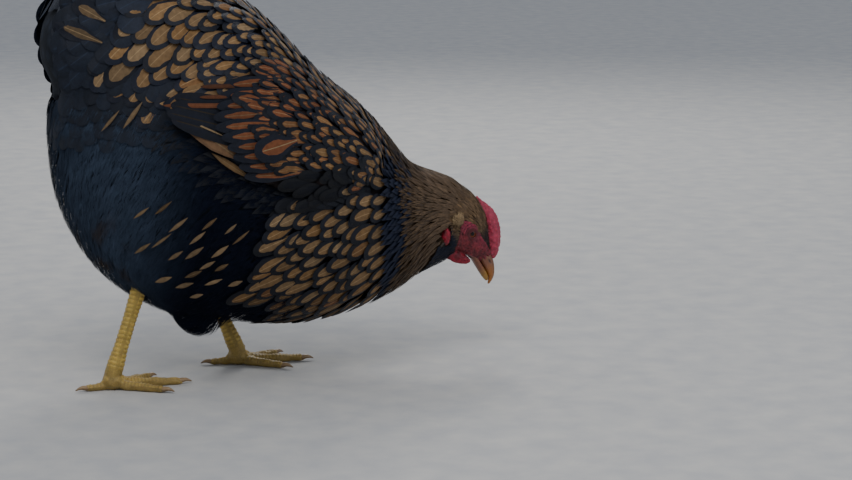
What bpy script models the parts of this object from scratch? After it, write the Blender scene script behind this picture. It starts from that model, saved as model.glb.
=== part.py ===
"""A Golden Laced Wyandotte hen, foraging with her head down, as a still life-size model.

The hen faces +X, her left side is +Y and she stands on z = 0. All lengths below are in millimetres.
The feathered body is modelled whole, out to the tips of the feathers, and parted with thin cuts.
"""

import math
from collections import namedtuple

import bmesh
import bpy
from mathutils import Matrix, Vector
from mathutils.bvhtree import BVHTree

MM = 0.001
GAP = 0.3  # left between neighbouring solids
WELD = 0.02  # points nearer than this are one
FAR_OUT = 300  # well clear of the hen's side

# How finely masses are melted together: voxel size, rounds of smoothing, triangles left.
Melt = namedtuple("Melt", "voxel smoothings triangles")
BODY_MELT = Melt(3.5, 6, 1050)
HEAD_MELT = Melt(1.5, 4, 400)
LEG_MELT = Melt(1.1, 3, 380)

RIGHT, LEFT = -1, 1  # the sign of y on each side of the hen
SIDE_NAMES = {RIGHT: "right", LEFT: "left"}

# The head is laid out in its own frame: ahead along the beak, up towards the comb, out to a side.
HEAD_PITCH = math.radians(58)  # below the horizontal
EYE_LEVEL = Vector((291, 0, 126))  # the frame's origin, between the two eyes
HEAD_AHEAD = Vector((math.cos(HEAD_PITCH), 0, -math.sin(HEAD_PITCH)))
HEAD_UP = Vector((math.sin(HEAD_PITCH), 0, math.cos(HEAD_PITCH)))

EYE_OUT = 11.2  # centre of the eyeball from the midline
EYE_RADIUS = 7.0
# Places in the head's frame as (ahead, up), each with its distance out and its radii.
EAR_TUFT, EAR_TUFT_OUT, EAR_TUFT_RADII = (-21, -8.5), 17, (8, 4.5, 7.5)
WATTLE, WATTLE_OUT, WATTLE_RADII, WATTLE_TURN = (14, -23.5), 7.5, (13, 3.0, 5.8), math.radians(26)
EARLOBE, EARLOBE_OUT, EARLOBE_RADII = (-15.5, -24), 22.5, (3.0, 3.4, 7.5)

# Legs: the right one trails, the left one reaches ahead.
STANCE_HALF_WIDTH = 33
HIP = {RIGHT: Vector((34, -62, 196)), LEFT: Vector((60, 62, 180))}
HOCK = {RIGHT: Vector((-44, -STANCE_HALF_WIDTH, 96)), LEFT: Vector((31, STANCE_HALF_WIDTH, 94))}
ANKLE = {RIGHT: Vector((-71, -STANCE_HALF_WIDTH, 14)), LEFT: Vector((65, STANCE_HALF_WIDTH, 14))}
# The thigh's sections: share of the way from hip to hock, half depth, half width.
THIGH_SECTIONS = ((0.0, 62, 46), (0.3, 58, 47), (0.55, 44, 40), (0.78, 28, 26), (0.94, 15, 14), (1.04, 9, 8))
# The shank's half width by share of the way from ankle to hock.
SHANK_HALF_WIDTHS = ((0.0, 8.6), (0.12, 8.2), (0.3, 6.8), (0.6, 6.3), (0.85, 7.0), (1.0, 7.8))
SHANK_END_RADIUS = 7.4
SHANK_TOP_BURIED = 12
SHANK_FOOT_BURIED = 4
FOOT_PAD_HEIGHT, FOOT_PAD_RADII = 7.5, (11, 10.5, 8.5)
FOOT_CUT_HEIGHT = 19

# Toes: name, bearing out from straight ahead, length without the claw, root and tip radius.
Toe = namedtuple("Toe", "name bearing length root_radius tip_radius")
TOES = (
    Toe("inner", -38, 48, 5.6, 3.9),
    Toe("middle", -2, 63, 6.0, 4.0),
    Toe("outer", 33, 50, 5.4, 3.8),
    Toe("hind", 172, 24, 4.9, 3.6),
)
TOE_TURN = {RIGHT: 2, LEFT: -3}  # the whole foot turned out, in degrees
TOE_SWELL = 0.09  # how much thicker a toe is at its joints
TOE_PRESSED = 0.82  # height of a toe's middle line as a share of its radius, so that its pad is cut flat
TOE_ROOT_SHARE, TOE_ROOT_RISE = 0.25, 3.5  # the part of a toe that climbs to the ankle, and how far
CLAW_LENGTH = 12
CLAW_RADIUS = 2.7
CLAW_ARCH, CLAW_DROP = 1.6, 1.1  # how far a claw bows up, and how far its point sinks
CLAW_TAPER = 0.82
CLAW_CLEARANCE = 0.2
SOCKET_SIZE = (15, 14, 22)  # the block that squares off a toe's end

# A ring is a closed section through a top and a bottom point, widest at a share of the way up.
Ring = namedtuple("Ring", "top bottom half_width widest fullness")


def body_ring(top, bottom, half_width, widest=0.5, fullness=2.2):
    """A section across the midline, from two (x, z) points."""
    return Ring(Vector((top[0], 0, top[1])), Vector((bottom[0], 0, bottom[1])), half_width, widest, fullness)


def head_point(ahead, up, out=0.0):
    return EYE_LEVEL + HEAD_AHEAD * ahead + HEAD_UP * up + Vector((0, out, 0))


def head_ring(top, bottom, half_width, widest=0.5, fullness=2.1):
    """A section of the head, from two (ahead, up) points."""
    return Ring(head_point(*top), head_point(*bottom), half_width, widest, fullness)


# The trunk and neck in one sweep, from the root of the tail to the back of the head.
TRUNK_AND_NECK = (
    body_ring((-64, 370), (-110, 296), 32),
    body_ring((-32, 392), (-121, 262), 58, 0.55),
    body_ring((20, 386), (-118, 190), 82, 0.52),
    body_ring((72, 358), (-98, 136), 101, 0.52),
    body_ring((106, 326), (-66, 95), 110, 0.54),
    body_ring((137, 294), (-14, 64), 112, 0.54),
    body_ring((177, 262), (48, 52), 105, 0.52),
    body_ring((204, 231), (110, 46), 90, 0.48),
    body_ring((224, 206), (164, 54), 70, 0.46),
    body_ring((238, 195), (208, 71), 54, 0.46),
    body_ring((253, 189), (240, 88), 38, 0.48),
    body_ring((275, 181), (262, 96), 25, 0.5),
    body_ring((293, 167.5), (274, 103), 20, 0.5),
)
SKULL = (
    head_ring((-40, 20), (-30, -24), 20),
    head_ring((-27, 25.5), (-18, -27), 21),
    head_ring((-12, 26.5), (-6, -27), 20.5),
    head_ring((2, 24), (4, -25), 18),
    head_ring((16, 18), (13, -20), 15),
    head_ring((27, 12.5), (21, -13), 12),
    head_ring((35, 8), (28, -9.5), 9),
    head_ring((39, 3.5), (33, -7), 5.5),
)
# The tail is a tent of feathers, open to the rear, whose ridge carries on the line of the back.
TAIL = (
    body_ring((10, 370), (-108, 268), 62, 0.3, 2.0),
    body_ring((2, 398), (-127, 302), 60, 0.2, 1.8),
    body_ring((-10, 422), (-128, 332), 57, 0.15, 1.6),
    body_ring((-26, 436), (-112, 366), 50, 0.15, 1.5),
    body_ring((-46, 439), (-100, 394), 36, 0.2, 1.6),
    body_ring((-62, 434), (-88, 414), 16, 0.3, 2.0),
)
COMB = (
    head_ring((-24, 27.5), (-23, 23), 2.5),
    head_ring((-15, 30.5), (-13, 21), 6.5),
    head_ring((-6, 33.6), (-4, 20), 9.5),
    head_ring((4, 34.3), (1, 18), 11.5),
    head_ring((14, 31.3), (8, 15), 12),
    head_ring((23.5, 26.4), (16, 11), 11.5),
    head_ring((32, 20), (24, 8), 10),
    head_ring((38, 13), (31, 5), 7),
    head_ring((39.6, 8.8), (36, 4.5), 3.5),
)
BEAK_UPPER = (
    head_ring((26, 8), (24, -5.0), 8.8, 0.35),
    head_ring((34, 8.6), (32, -5.0), 8.2, 0.3),
    head_ring((41, 7.2), (39.5, -4.9), 7.0, 0.25),
    head_ring((48, 4.2), (46.5, -4.9), 5.4, 0.25),
    head_ring((53.8, -0.2), (52, -5.4), 3.7, 0.3),
    head_ring((57.2, -5.2), (55.6, -7.6), 2.0, 0.4),
    head_ring((58.4, -9.0), (57.8, -9.8), 0.8, 0.5),
)
BEAK_LOWER = (
    head_ring((23, -5.8), (22, -10.6), 7.4, 0.7),
    head_ring((32, -5.7), (30.5, -10.6), 6.8, 0.7),
    head_ring((41, -5.5), (39.5, -10.8), 5.6, 0.7),
    head_ring((49, -5.8), (47.5, -10.6), 3.9, 0.7),
    head_ring((54.0, -8.0), (53.4, -9.8), 1.6, 0.6),
)
# Loose fluff of the near thigh, hanging below the belly between the legs.
FLUFF_CENTRE, FLUFF_RADII = Vector((16, -26, 76)), (31, 22, 35)


def thigh_rings(side):
    """The feathered thigh, from deep in the flank down to the hock."""
    hip, hock = HIP[side], HOCK[side]
    drop = (hock - hip).normalized()
    across = Vector((drop.z, 0, -drop.x)).normalized()
    if across.x > 0:
        across.negate()
    rings = []
    for share, deep, half_width in THIGH_SECTIONS:
        middle = hip.lerp(hock, share)
        rings.append(Ring(middle + across * deep, middle - across * deep, half_width, 0.5, 2.1))
    return rings


# Where the thin cuts go.
HEAD_CUT = Vector((274, 0, 153)), Vector((0.876, 0, -0.482))
NECK_CUT = Vector((222, 0, 140)), Vector((0.97, 0, -0.25))
TAIL_CUT = Vector((-50, 0, 345)), Vector((-0.72, 0, 0.694))
THIGH_REGION = {
    RIGHT: (Vector((-6, -66, 140)), Vector((78, 56, 74)), math.radians(30)),
    LEFT: (Vector((37, 66, 140)), Vector((78, 56, 74)), math.radians(30)),
}

MATERIALS = {
    "plumage": ((0.030, 0.028, 0.030), 0.7),
    "hackle": ((0.135, 0.080, 0.035), 0.7),
    "red_skin": ((0.42, 0.020, 0.035), 0.5),
    "comb_skin": ((0.50, 0.040, 0.085), 0.45),
    "horn": ((0.48, 0.20, 0.020), 0.4),
    "scales": ((0.55, 0.30, 0.030), 0.5),
    "eye": ((0.20, 0.055, 0.010), 0.1),
}
MATERIAL_OF = {
    "trunk": "plumage",
    "tail": "plumage",
    "wing": "plumage",
    "thigh": "plumage",
    "neck": "hackle",
    "head": "red_skin",
    "wattle": "red_skin",
    "earlobe": "red_skin",
    "comb": "comb_skin",
    "beak": "horn",
    "claw": "horn",
    "shank": "scales",
    "foot": "scales",
    "eye": "eye",
}


def material_named(name):
    colour, roughness = MATERIALS[name]
    made = bpy.data.materials.get(name) or bpy.data.materials.new(name)
    made.use_nodes = True
    shader = made.node_tree.nodes["Principled BSDF"]
    shader.inputs["Base Color"].default_value = (*colour, 1)
    shader.inputs["Roughness"].default_value = roughness
    shader.inputs["Metallic"].default_value = 0
    return made


def catmull_rom(before, start, end, after, share):
    """Works on numbers and on vectors alike."""
    return 0.5 * (
        2 * start
        + (end - before) * share
        + (2 * before - 5 * start + 4 * end - after) * share**2
        + (3 * start - before - 3 * end + after) * share**3
    )


def between_rings(rings, steps):
    """The rings with smooth ones put between them."""
    padded = (rings[0], *rings, rings[-1])
    dense = []
    for first in range(len(rings) - 1):
        four = padded[first : first + 4]
        for step in range(steps):
            fields = zip(*four)
            dense.append(Ring(*(catmull_rom(*values, step / steps) for values in fields)))
    dense.append(rings[-1])
    return dense


def ring_points(ring, sides):
    centre = ring.bottom.lerp(ring.top, ring.widest)
    out = Vector((0, 1, 0))
    points = []
    for k in range(sides):
        turn = 2 * math.pi * (k + 0.5) / sides
        lift = math.copysign(abs(math.sin(turn)) ** (2 / ring.fullness), math.sin(turn))
        reach = math.copysign(abs(math.cos(turn)) ** (2 / ring.fullness), math.cos(turn))
        towards = ring.top - centre if lift > 0 else centre - ring.bottom
        points.append(centre + towards * lift + out * ring.half_width * reach)
    return points


def sweep(rings, sides=24, steps=3):
    """A closed mesh through the rings, in metres."""
    rows = [ring_points(ring, sides) for ring in between_rings(rings, steps)]
    made = bmesh.new()
    placed = [[made.verts.new(point * MM) for point in row] for row in rows]
    for row, following in zip(placed, placed[1:]):
        for k in range(sides):
            after = (k + 1) % sides
            made.faces.new((row[k], row[after], following[after], following[k]))
    made.faces.new(reversed(placed[0]))
    made.faces.new(placed[-1])
    return finished_mesh(made, "sweep")


def finished_mesh(made, name):
    """Turns a bmesh into a mesh whose faces point out."""
    bmesh.ops.recalc_face_normals(made, faces=made.faces)
    if made.calc_volume(signed=True) < 0:
        bmesh.ops.reverse_faces(made, faces=made.faces)
    mesh = bpy.data.meshes.new(name)
    made.to_mesh(mesh)
    made.free()
    return mesh


def ellipsoid(centre, radii, turn=None, detail=3):
    """An egg at a centre in millimetres; turn is a rotation matrix."""
    made = bmesh.new()
    bmesh.ops.create_icosphere(made, subdivisions=detail, radius=1)
    stretch = Matrix.Diagonal((*(Vector(radii) * MM), 1))
    made.transform(Matrix.Translation(centre * MM) @ (turn or Matrix()).to_4x4() @ stretch)
    return finished_mesh(made, "ellipsoid")


def thigh_region(side):
    """The egg-shaped part of the body that counts as the thigh."""
    made = bmesh.new()
    bmesh.ops.create_uvsphere(made, u_segments=24, v_segments=6, radius=1)
    made.transform(Matrix.Rotation(math.radians(90), 4, "X"))
    centre, radii, tilt = THIGH_REGION[side]
    made.transform(Matrix.Diagonal((*(radii * MM), 1)))
    made.transform(Matrix.Translation(centre * MM) @ Matrix.Rotation(tilt, 4, "Y"))
    return finished_mesh(made, "region")


def joined(meshes):
    made = bmesh.new()
    for mesh in meshes:
        made.from_mesh(mesh)
    mesh = bpy.data.meshes.new("joined")
    made.to_mesh(mesh)
    made.free()
    return mesh


def with_modifiers(mesh, add_modifiers):
    """The mesh after the modifiers that a function puts on it."""
    holder = bpy.data.objects.new("holder", mesh)
    bpy.context.scene.collection.objects.link(holder)
    add_modifiers(holder.modifiers)
    bpy.context.view_layer.update()
    made = bpy.data.meshes.new_from_object(holder.evaluated_get(bpy.context.evaluated_depsgraph_get()))
    bpy.data.objects.remove(holder)
    return made


def melted(meshes, settings):
    """Meshes that overlap, melted into one closed surface of about so many triangles."""

    def melt(modifiers):
        remesh = modifiers.new("melt", "REMESH")
        remesh.mode = "VOXEL"
        remesh.voxel_size = settings.voxel * MM
        smooth = modifiers.new("smooth", "SMOOTH")
        smooth.factor = 0.5
        smooth.iterations = settings.smoothings

    dense = with_modifiers(joined(meshes), melt)
    count = sum(len(face.vertices) - 2 for face in dense.polygons)

    def thin(modifiers):
        decimate = modifiers.new("thin", "DECIMATE")
        decimate.ratio = min(1, settings.triangles / count)

    return with_modifiers(dense, thin)


def grown(mesh, by=GAP):
    """A copy with every point moved out along its normal."""
    made = bmesh.new()
    made.from_mesh(mesh)
    made.normal_update()
    moves = [vert.normal * by * MM for vert in made.verts]
    for vert, move in zip(made.verts, moves):
        vert.co += move
    mesh = bpy.data.meshes.new("grown")
    made.to_mesh(mesh)
    made.free()
    return mesh


def combined(mesh, other, operation):
    """One mesh cut by, or kept inside, another."""
    cutter = bpy.data.objects.new("cutter", other)
    bpy.context.scene.collection.objects.link(cutter)

    def combine(modifiers):
        boolean = modifiers.new("boolean", "BOOLEAN")
        boolean.operation = operation
        boolean.use_self = True
        boolean.object = cutter

    made = with_modifiers(mesh, combine)
    bpy.data.objects.remove(cutter)
    return biggest_body(made)


def carved(mesh, tools):
    """The mesh with room left for each tool."""
    for tool in tools:
        mesh = combined(mesh, grown(tool), "DIFFERENCE")
    return mesh


def welded(body):
    """Joins points that nearly meet, as far as that leaves the surface closed."""
    for share in (1, 0.3, 0.1, 0.03):
        made = body.copy()
        bmesh.ops.remove_doubles(made, verts=made.verts, dist=WELD * share * MM)
        bmesh.ops.dissolve_degenerate(made, edges=made.edges, dist=WELD * share * MM)
        bmesh.ops.triangulate(made, faces=made.faces)
        if all(edge.is_manifold for edge in made.edges):
            body.free()
            return made
        made.free()
    return body


def biggest_body(mesh):
    """Drops the crumbs that a cut may leave."""
    made = bmesh.new()
    made.from_mesh(mesh)
    waiting = set(made.verts)
    bodies = []
    while waiting:
        reached = {waiting.pop()}
        frontier = list(reached)
        while frontier:
            vert = frontier.pop()
            for edge in vert.link_edges:
                other = edge.other_vert(vert)
                if other not in reached:
                    reached.add(other)
                    frontier.append(other)
        waiting -= reached
        bodies.append(reached)
    keep = max(bodies, key=len)
    bmesh.ops.delete(made, geom=[vert for vert in made.verts if vert not in keep], context="VERTS")
    made = welded(made)
    kept = bpy.data.meshes.new("kept")
    made.to_mesh(kept)
    made.free()
    return kept


def half_beyond(mesh, point, normal):
    """The closed part of a mesh that lies on the normal's side of a plane."""
    made = bmesh.new()
    made.from_mesh(mesh)
    everything = [*made.verts, *made.edges, *made.faces]
    cut = bmesh.ops.bisect_plane(
        made, geom=everything, plane_co=point * MM, plane_no=normal, clear_inner=True
    )
    rim = [piece for piece in cut["geom_cut"] if isinstance(piece, bmesh.types.BMEdge)]
    bmesh.ops.edgeloop_fill(made, edges=rim)
    bmesh.ops.triangulate(made, faces=made.faces)
    return biggest_body(finished_mesh(made, "half"))


def parted(mesh, point, normal):
    """The two sides of a thin cut: first the one that the normal points to."""
    normal = normal.normalized()
    near = half_beyond(mesh, point + normal * GAP / 2, normal)
    far = half_beyond(mesh, point - normal * GAP / 2, -normal)
    return near, far


def node(name, mesh, material):
    mesh.name = name
    mesh.materials.clear()
    mesh.materials.append(material_named(material))
    mesh.shade_smooth()
    mesh.set_sharp_from_angle(angle=math.radians(40))
    made = bpy.data.objects.new(name, mesh)
    bpy.context.scene.collection.objects.link(made)
    return made


# The folded wing, as (x, z) along its upper and its lower edge, from the shoulder to the tip.
WING_UPPER = ((186, 222), (170, 248), (130, 284), (88, 304), (44, 312), (8, 304), (-16, 286), (-28, 272))
WING_LOWER = ((182, 204), (160, 190), (122, 184), (84, 190), (48, 206), (16, 232), (-10, 256), (-26, 266))
WING_THICKNESS = 11  # how far the middle of the wing stands off the flank
WING_EDGE = 2.5
WING_DEPTH = 5  # how far its inner face lies in the flank
WING_COLUMNS, WING_ROWS = 15, 6
WING_ENDS = 0.06  # how far in from its two ends the wing starts to swell


def along_edge(edge, share):
    """A point on a smooth line through an edge's points."""
    points = [Vector((x, 0, z)) for x, z in edge]
    padded = (points[0], *points, points[-1])
    first = min(int(share * (len(points) - 1)), len(points) - 2)
    return catmull_rom(*padded[first : first + 4], share * (len(points) - 1) - first)


def wing(side, flank):
    """A lens of feathers that lies on the flank and follows its curve."""
    made = bmesh.new()
    grid = []
    for column in range(WING_COLUMNS):
        share = column / (WING_COLUMNS - 1)
        row = []
        for step in range(WING_ROWS):
            across = step / (WING_ROWS - 1)
            spot = along_edge(WING_LOWER, share).lerp(along_edge(WING_UPPER, share), across)
            start = Vector((spot.x, side * FAR_OUT, spot.z)) * MM
            out = abs(flank.ray_cast(start, Vector((0, -side, 0)))[0].y) / MM
            along = WING_ENDS + (1 - 2 * WING_ENDS) * share
            swell = math.sqrt(max(0.0, math.sin(math.pi * across) * math.sin(math.pi * along)))
            proud = WING_EDGE + (WING_THICKNESS - WING_EDGE) * swell
            row.append([Vector((spot.x, side * (out + step), spot.z)) * MM for step in (proud, -WING_DEPTH)])
        grid.append(row)
    outer, inner = ([[made.verts.new(pair[face]) for pair in row] for row in grid] for face in (0, 1))
    for sheet in (outer, inner):
        for row, following in zip(sheet, sheet[1:]):
            for k in range(WING_ROWS - 1):
                made.faces.new((row[k], row[k + 1], following[k + 1], following[k]))
    last = WING_ROWS - 1
    for rim_outer, rim_inner in (
        (outer[0], inner[0]),
        (outer[-1], inner[-1]),
        ([row[0] for row in outer], [row[0] for row in inner]),
        ([row[last] for row in outer], [row[last] for row in inner]),
    ):
        for k in range(len(rim_outer) - 1):
            made.faces.new((rim_outer[k], rim_outer[k + 1], rim_inner[k + 1], rim_inner[k]))
    bmesh.ops.triangulate(made, faces=made.faces)
    return finished_mesh(made, "wing")


def toe_direction(toe, side):
    bearing = math.radians(side * (toe.bearing + TOE_TURN[side]))
    return Vector((math.cos(bearing), math.sin(bearing), 0))


def tube(points, radii, sides=12):
    """A closed round bar along a line of points, with its own radius at each."""
    rows = []
    for k, point in enumerate(points):
        ahead = (points[min(k + 1, len(points) - 1)] - points[max(k - 1, 0)]).normalized()
        right = ahead.cross(Vector((0, 0, 1)))
        if right.length < 0.3:
            right = ahead.cross(Vector((1, 0, 0)))
        right.normalize()
        up = right.cross(ahead)
        turns = [2 * math.pi * step / sides for step in range(sides)]
        rows.append([point + (right * math.cos(turn) + up * math.sin(turn)) * radii[k] for turn in turns])
    made = bmesh.new()
    placed = [[made.verts.new(point * MM) for point in row] for row in rows]
    for row, following in zip(placed, placed[1:]):
        for k in range(sides):
            after = (k + 1) % sides
            made.faces.new((row[k], row[after], following[after], following[k]))
    made.faces.new(reversed(placed[0]))
    made.faces.new(placed[-1])
    return finished_mesh(made, "tube")


def toe_tip(toe, side):
    """Where the claw starts."""
    root = Vector((ANKLE[side].x, ANKLE[side].y, 0))
    return root + toe_direction(toe, side) * toe.length + Vector((0, 0, toe.tip_radius * 0.8))


def toe_mesh(toe, side):
    """Joints swell between the phalanges; the underside is flattened later, at the floor."""
    tip = toe_tip(toe, side)
    root = Vector((ANKLE[side].x, ANKLE[side].y, 0))
    joints = 2 if toe.name == "hind" else 3
    count = 4 * joints + 1
    points, radii = [], []
    for k in range(count):
        share = k / (count - 1)
        radius = toe.root_radius + (toe.tip_radius - toe.root_radius) * share
        swell = 1 + TOE_SWELL * math.cos(2 * math.pi * joints * share)
        spot = root.lerp(tip, share)
        spot.z = radius * TOE_PRESSED + max(0.0, 1 - share / TOE_ROOT_SHARE) * TOE_ROOT_RISE
        points.append(spot)
        radii.append(radius * swell)
    return tube(points, radii)


def claw_mesh(toe, side):
    """A curved, pointed claw that starts at the tip of the toe and whose point nears the floor."""
    ahead = toe_direction(toe, side)
    start = toe_tip(toe, side) + ahead * (GAP + CLAW_CLEARANCE)
    steps = 4
    points, radii = [], []
    for k in range(steps + 1):
        share = k / steps
        rise = CLAW_ARCH * math.sin(math.pi * share) - CLAW_DROP * share
        points.append(start + ahead * CLAW_LENGTH * share + Vector((0, 0, rise)))
        radii.append(CLAW_RADIUS * (1 - CLAW_TAPER * share**1.6))
    return half_beyond(tube(points, radii, 8), Vector((0, 0, 0)), Vector((0, 0, 1)))


def leg_meshes(side):
    """The bare leg, melted from its shank and toes and cut into a shank and a foot."""
    ankle, hock = ANKLE[side], HOCK[side]
    up_leg = (hock - ankle).normalized()
    top = hock + up_leg * SHANK_TOP_BURIED
    points = [ankle - up_leg * SHANK_FOOT_BURIED]
    radii = [SHANK_END_RADIUS]
    for share, half_width in SHANK_HALF_WIDTHS:
        points.append(ankle.lerp(hock, share))
        radii.append(half_width)
    points.append(top)
    radii.append(SHANK_END_RADIUS)
    pieces = [tube(points, radii, 16)]
    pieces.append(ellipsoid(Vector((ankle.x, ankle.y, FOOT_PAD_HEIGHT)), FOOT_PAD_RADII))
    pieces += [toe_mesh(toe, side) for toe in TOES]
    leg = melted(pieces, LEG_MELT)
    leg = half_beyond(leg, Vector((0, 0, 0)), Vector((0, 0, 1)))
    for toe in TOES:
        leg = combined(leg, claw_socket(toe, side), "DIFFERENCE")
    leg = carved(leg, [claw_mesh(toe, side) for toe in TOES])
    return parted(leg, Vector((ankle.x, ankle.y, FOOT_CUT_HEIGHT)), Vector((0, 0, 1)))


def claw_socket(toe, side):
    """A block that squares off the tip of a toe, so that the claw meets it face to face."""
    ahead = toe_direction(toe, side)
    made = bmesh.new()
    bmesh.ops.create_cube(made, size=1)
    across = Vector((-ahead.y, ahead.x, 0))
    turn = Matrix((ahead, across, Vector((0, 0, 1)))).transposed().to_4x4()
    centre = toe_tip(toe, side) + ahead * SOCKET_SIZE[0] / 2
    stretch = Matrix.Diagonal((*(Vector(SOCKET_SIZE) * MM), 1))
    made.transform(Matrix.Translation(centre * MM) @ turn @ stretch)
    return finished_mesh(made, "socket")


def clear_scene():
    for thing in list(bpy.data.objects):
        bpy.data.objects.remove(thing)


def stand_on_origin(nodes):
    """Puts the middle of the bounding box over the origin, by an empty that carries every node."""
    corners = [made.matrix_world @ vert.co for made in nodes for vert in made.data.vertices]
    hen = bpy.data.objects.new("hen", None)
    bpy.context.scene.collection.objects.link(hen)
    for axis in (0, 1):
        places = [corner[axis] for corner in corners]
        hen.location[axis] = -(min(places) + max(places)) / 2
    for made in nodes:
        made.parent = hen


def body_meshes():
    """The feathered body in its parts, with the bare legs let into it."""
    thighs = [sweep(thigh_rings(side), sides=20) for side in (RIGHT, LEFT)]
    loose = ellipsoid(FLUFF_CENTRE, FLUFF_RADII)
    masses = [sweep(TRUNK_AND_NECK, sides=32, steps=4), sweep(TAIL, steps=4), loose, *thighs]
    whole = melted(masses, BODY_MELT)
    flank = BVHTree.FromPolygons([v.co for v in whole.vertices], [p.vertices for p in whole.polygons])
    meshes = {f"wing_{SIDE_NAMES[side]}": wing(side, flank) for side in (RIGHT, LEFT)}
    legs = {side: leg_meshes(side) for side in (RIGHT, LEFT)}
    shanks = [legs[side][0] for side in (RIGHT, LEFT)]
    rest = carved(parted(whole, *HEAD_CUT)[1], [*meshes.values(), *shanks])
    meshes["neck"], rest = parted(rest, *NECK_CUT)
    meshes["tail"], rest = parted(rest, *TAIL_CUT)
    for side in (RIGHT, LEFT):
        region = thigh_region(side)
        meshes[f"thigh_{SIDE_NAMES[side]}"] = combined(rest, region, "INTERSECT")
        rest = combined(rest, grown(region), "DIFFERENCE")
        meshes[f"shank_{SIDE_NAMES[side]}"], meshes[f"foot_{SIDE_NAMES[side]}"] = legs[side]
    meshes["trunk"] = rest
    return meshes


def head_meshes():
    """The head with its comb, bill, eyes, wattles and earlobes, each let into it."""
    tufts = [ellipsoid(head_point(*EAR_TUFT, side * EAR_TUFT_OUT), EAR_TUFT_RADII) for side in (RIGHT, LEFT)]
    whole = melted([sweep(TRUNK_AND_NECK[-5:]), sweep(SKULL, sides=20), *tufts], HEAD_MELT)
    head = parted(whole, *HEAD_CUT)[0]
    meshes = {
        "beak_upper": sweep(BEAK_UPPER, sides=10, steps=2),
        "beak_lower": sweep(BEAK_LOWER, sides=10, steps=2),
    }
    meshes["comb"] = carved(sweep(COMB, sides=10, steps=2), [meshes["beak_upper"]])
    head = carved(head, meshes.values())
    for side in (RIGHT, LEFT):
        eye = ellipsoid(head_point(0, 0, side * EYE_OUT), (EYE_RADIUS,) * 3)
        turn = Matrix.Rotation(WATTLE_TURN, 3, "Y")
        wattle = ellipsoid(head_point(*WATTLE, side * WATTLE_OUT), WATTLE_RADII, turn, detail=2)
        wattle = carved(wattle, [meshes["beak_lower"]])
        earlobe = ellipsoid(head_point(*EARLOBE, side * EARLOBE_OUT), EARLOBE_RADII, detail=2)
        head = carved(head, [eye, wattle, earlobe])
        meshes[f"eye_{SIDE_NAMES[side]}"] = eye
        meshes[f"wattle_{SIDE_NAMES[side]}"] = wattle
        meshes[f"earlobe_{SIDE_NAMES[side]}"] = earlobe
    meshes["head"] = head
    return meshes


def claw_meshes():
    meshes = {}
    for side in (RIGHT, LEFT):
        for toe in TOES:
            meshes[f"claw_{SIDE_NAMES[side]}_{toe.name}"] = claw_mesh(toe, side)
    return meshes


def build():
    clear_scene()
    body, face = body_meshes(), head_meshes()
    small = [face[name] for name in face if name != "head"]
    body["neck"] = carved(body["neck"], small)
    meshes = {**body, **face, **claw_meshes()}
    made = [node(name, mesh, MATERIAL_OF[name.split("_")[0]]) for name, mesh in meshes.items()]
    bpy.context.view_layer.update()
    stand_on_origin(made)


build()
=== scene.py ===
"""The looks of a pecking Golden Laced Wyandotte hen: skin, feathers, head, legs, floor, light and camera.

Until world() turns them into the frame's metres, lengths are millimetres from the point between the feet,
with the hen facing +X and its left side towards +Y. Feathers are drawn once as flat templates, whose x runs
across the vane from -1 to 1 and whose y runs from root to tip, and then laid along the body many times.
"""

import math
from collections import namedtuple

import bmesh
import bpy
import numpy as np
from mathutils import Matrix, Vector, noise
from mathutils.bvhtree import BVHTree
from mathutils.kdtree import KDTree

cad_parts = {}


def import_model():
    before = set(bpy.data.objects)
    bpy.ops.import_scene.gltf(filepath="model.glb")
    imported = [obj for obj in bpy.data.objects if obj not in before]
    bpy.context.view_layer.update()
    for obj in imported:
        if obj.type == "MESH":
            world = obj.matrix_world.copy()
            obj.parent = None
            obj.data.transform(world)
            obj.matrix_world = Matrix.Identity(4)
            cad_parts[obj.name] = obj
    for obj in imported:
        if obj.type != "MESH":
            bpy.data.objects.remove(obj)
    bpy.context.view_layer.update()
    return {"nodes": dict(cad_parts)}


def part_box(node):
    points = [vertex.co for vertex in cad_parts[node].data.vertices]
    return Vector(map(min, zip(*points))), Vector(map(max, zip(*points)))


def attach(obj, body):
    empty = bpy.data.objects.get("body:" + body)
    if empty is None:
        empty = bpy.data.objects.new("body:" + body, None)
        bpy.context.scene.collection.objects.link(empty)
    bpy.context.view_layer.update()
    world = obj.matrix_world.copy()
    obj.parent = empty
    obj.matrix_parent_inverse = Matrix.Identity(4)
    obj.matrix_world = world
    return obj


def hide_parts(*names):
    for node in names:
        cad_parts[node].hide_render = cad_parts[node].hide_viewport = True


MM = 0.001
SEED = 7
SIDES = {"right": -1, "left": 1}
EYE_MIDDLE = Vector((291, 0, 126))  # the point between the eyes
HEAD_PITCH = math.radians(58)  # how far the bill points below the horizon
AHEAD = np.array((math.cos(HEAD_PITCH), 0, -math.sin(HEAD_PITCH)))
HEAD_UP = np.array((math.sin(HEAD_PITCH), 0, math.cos(HEAD_PITCH)))
EYE_OUT = 11.2
EYE_RADIUS = 7.0
LID_OUT = EYE_OUT + 6.0

BODY_NODES = ("trunk", "neck", "tail", "thigh_right", "thigh_left", "wing_right", "wing_left")
FACE_NODES = ("head", "comb", "wattle_right", "wattle_left", "earlobe_right", "earlobe_left")
LEG_NODES = ("shank_right", "shank_left", "foot_right", "foot_left")
COAT_DEPTH = {"trunk": 9.0, "neck": 6.0, "tail": 4.0, "thigh": 8.0, "wing": 4.0, "head": 1.6}

BAKE_PATCH = 0.003  # how much of the bake's image one feather takes

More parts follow.
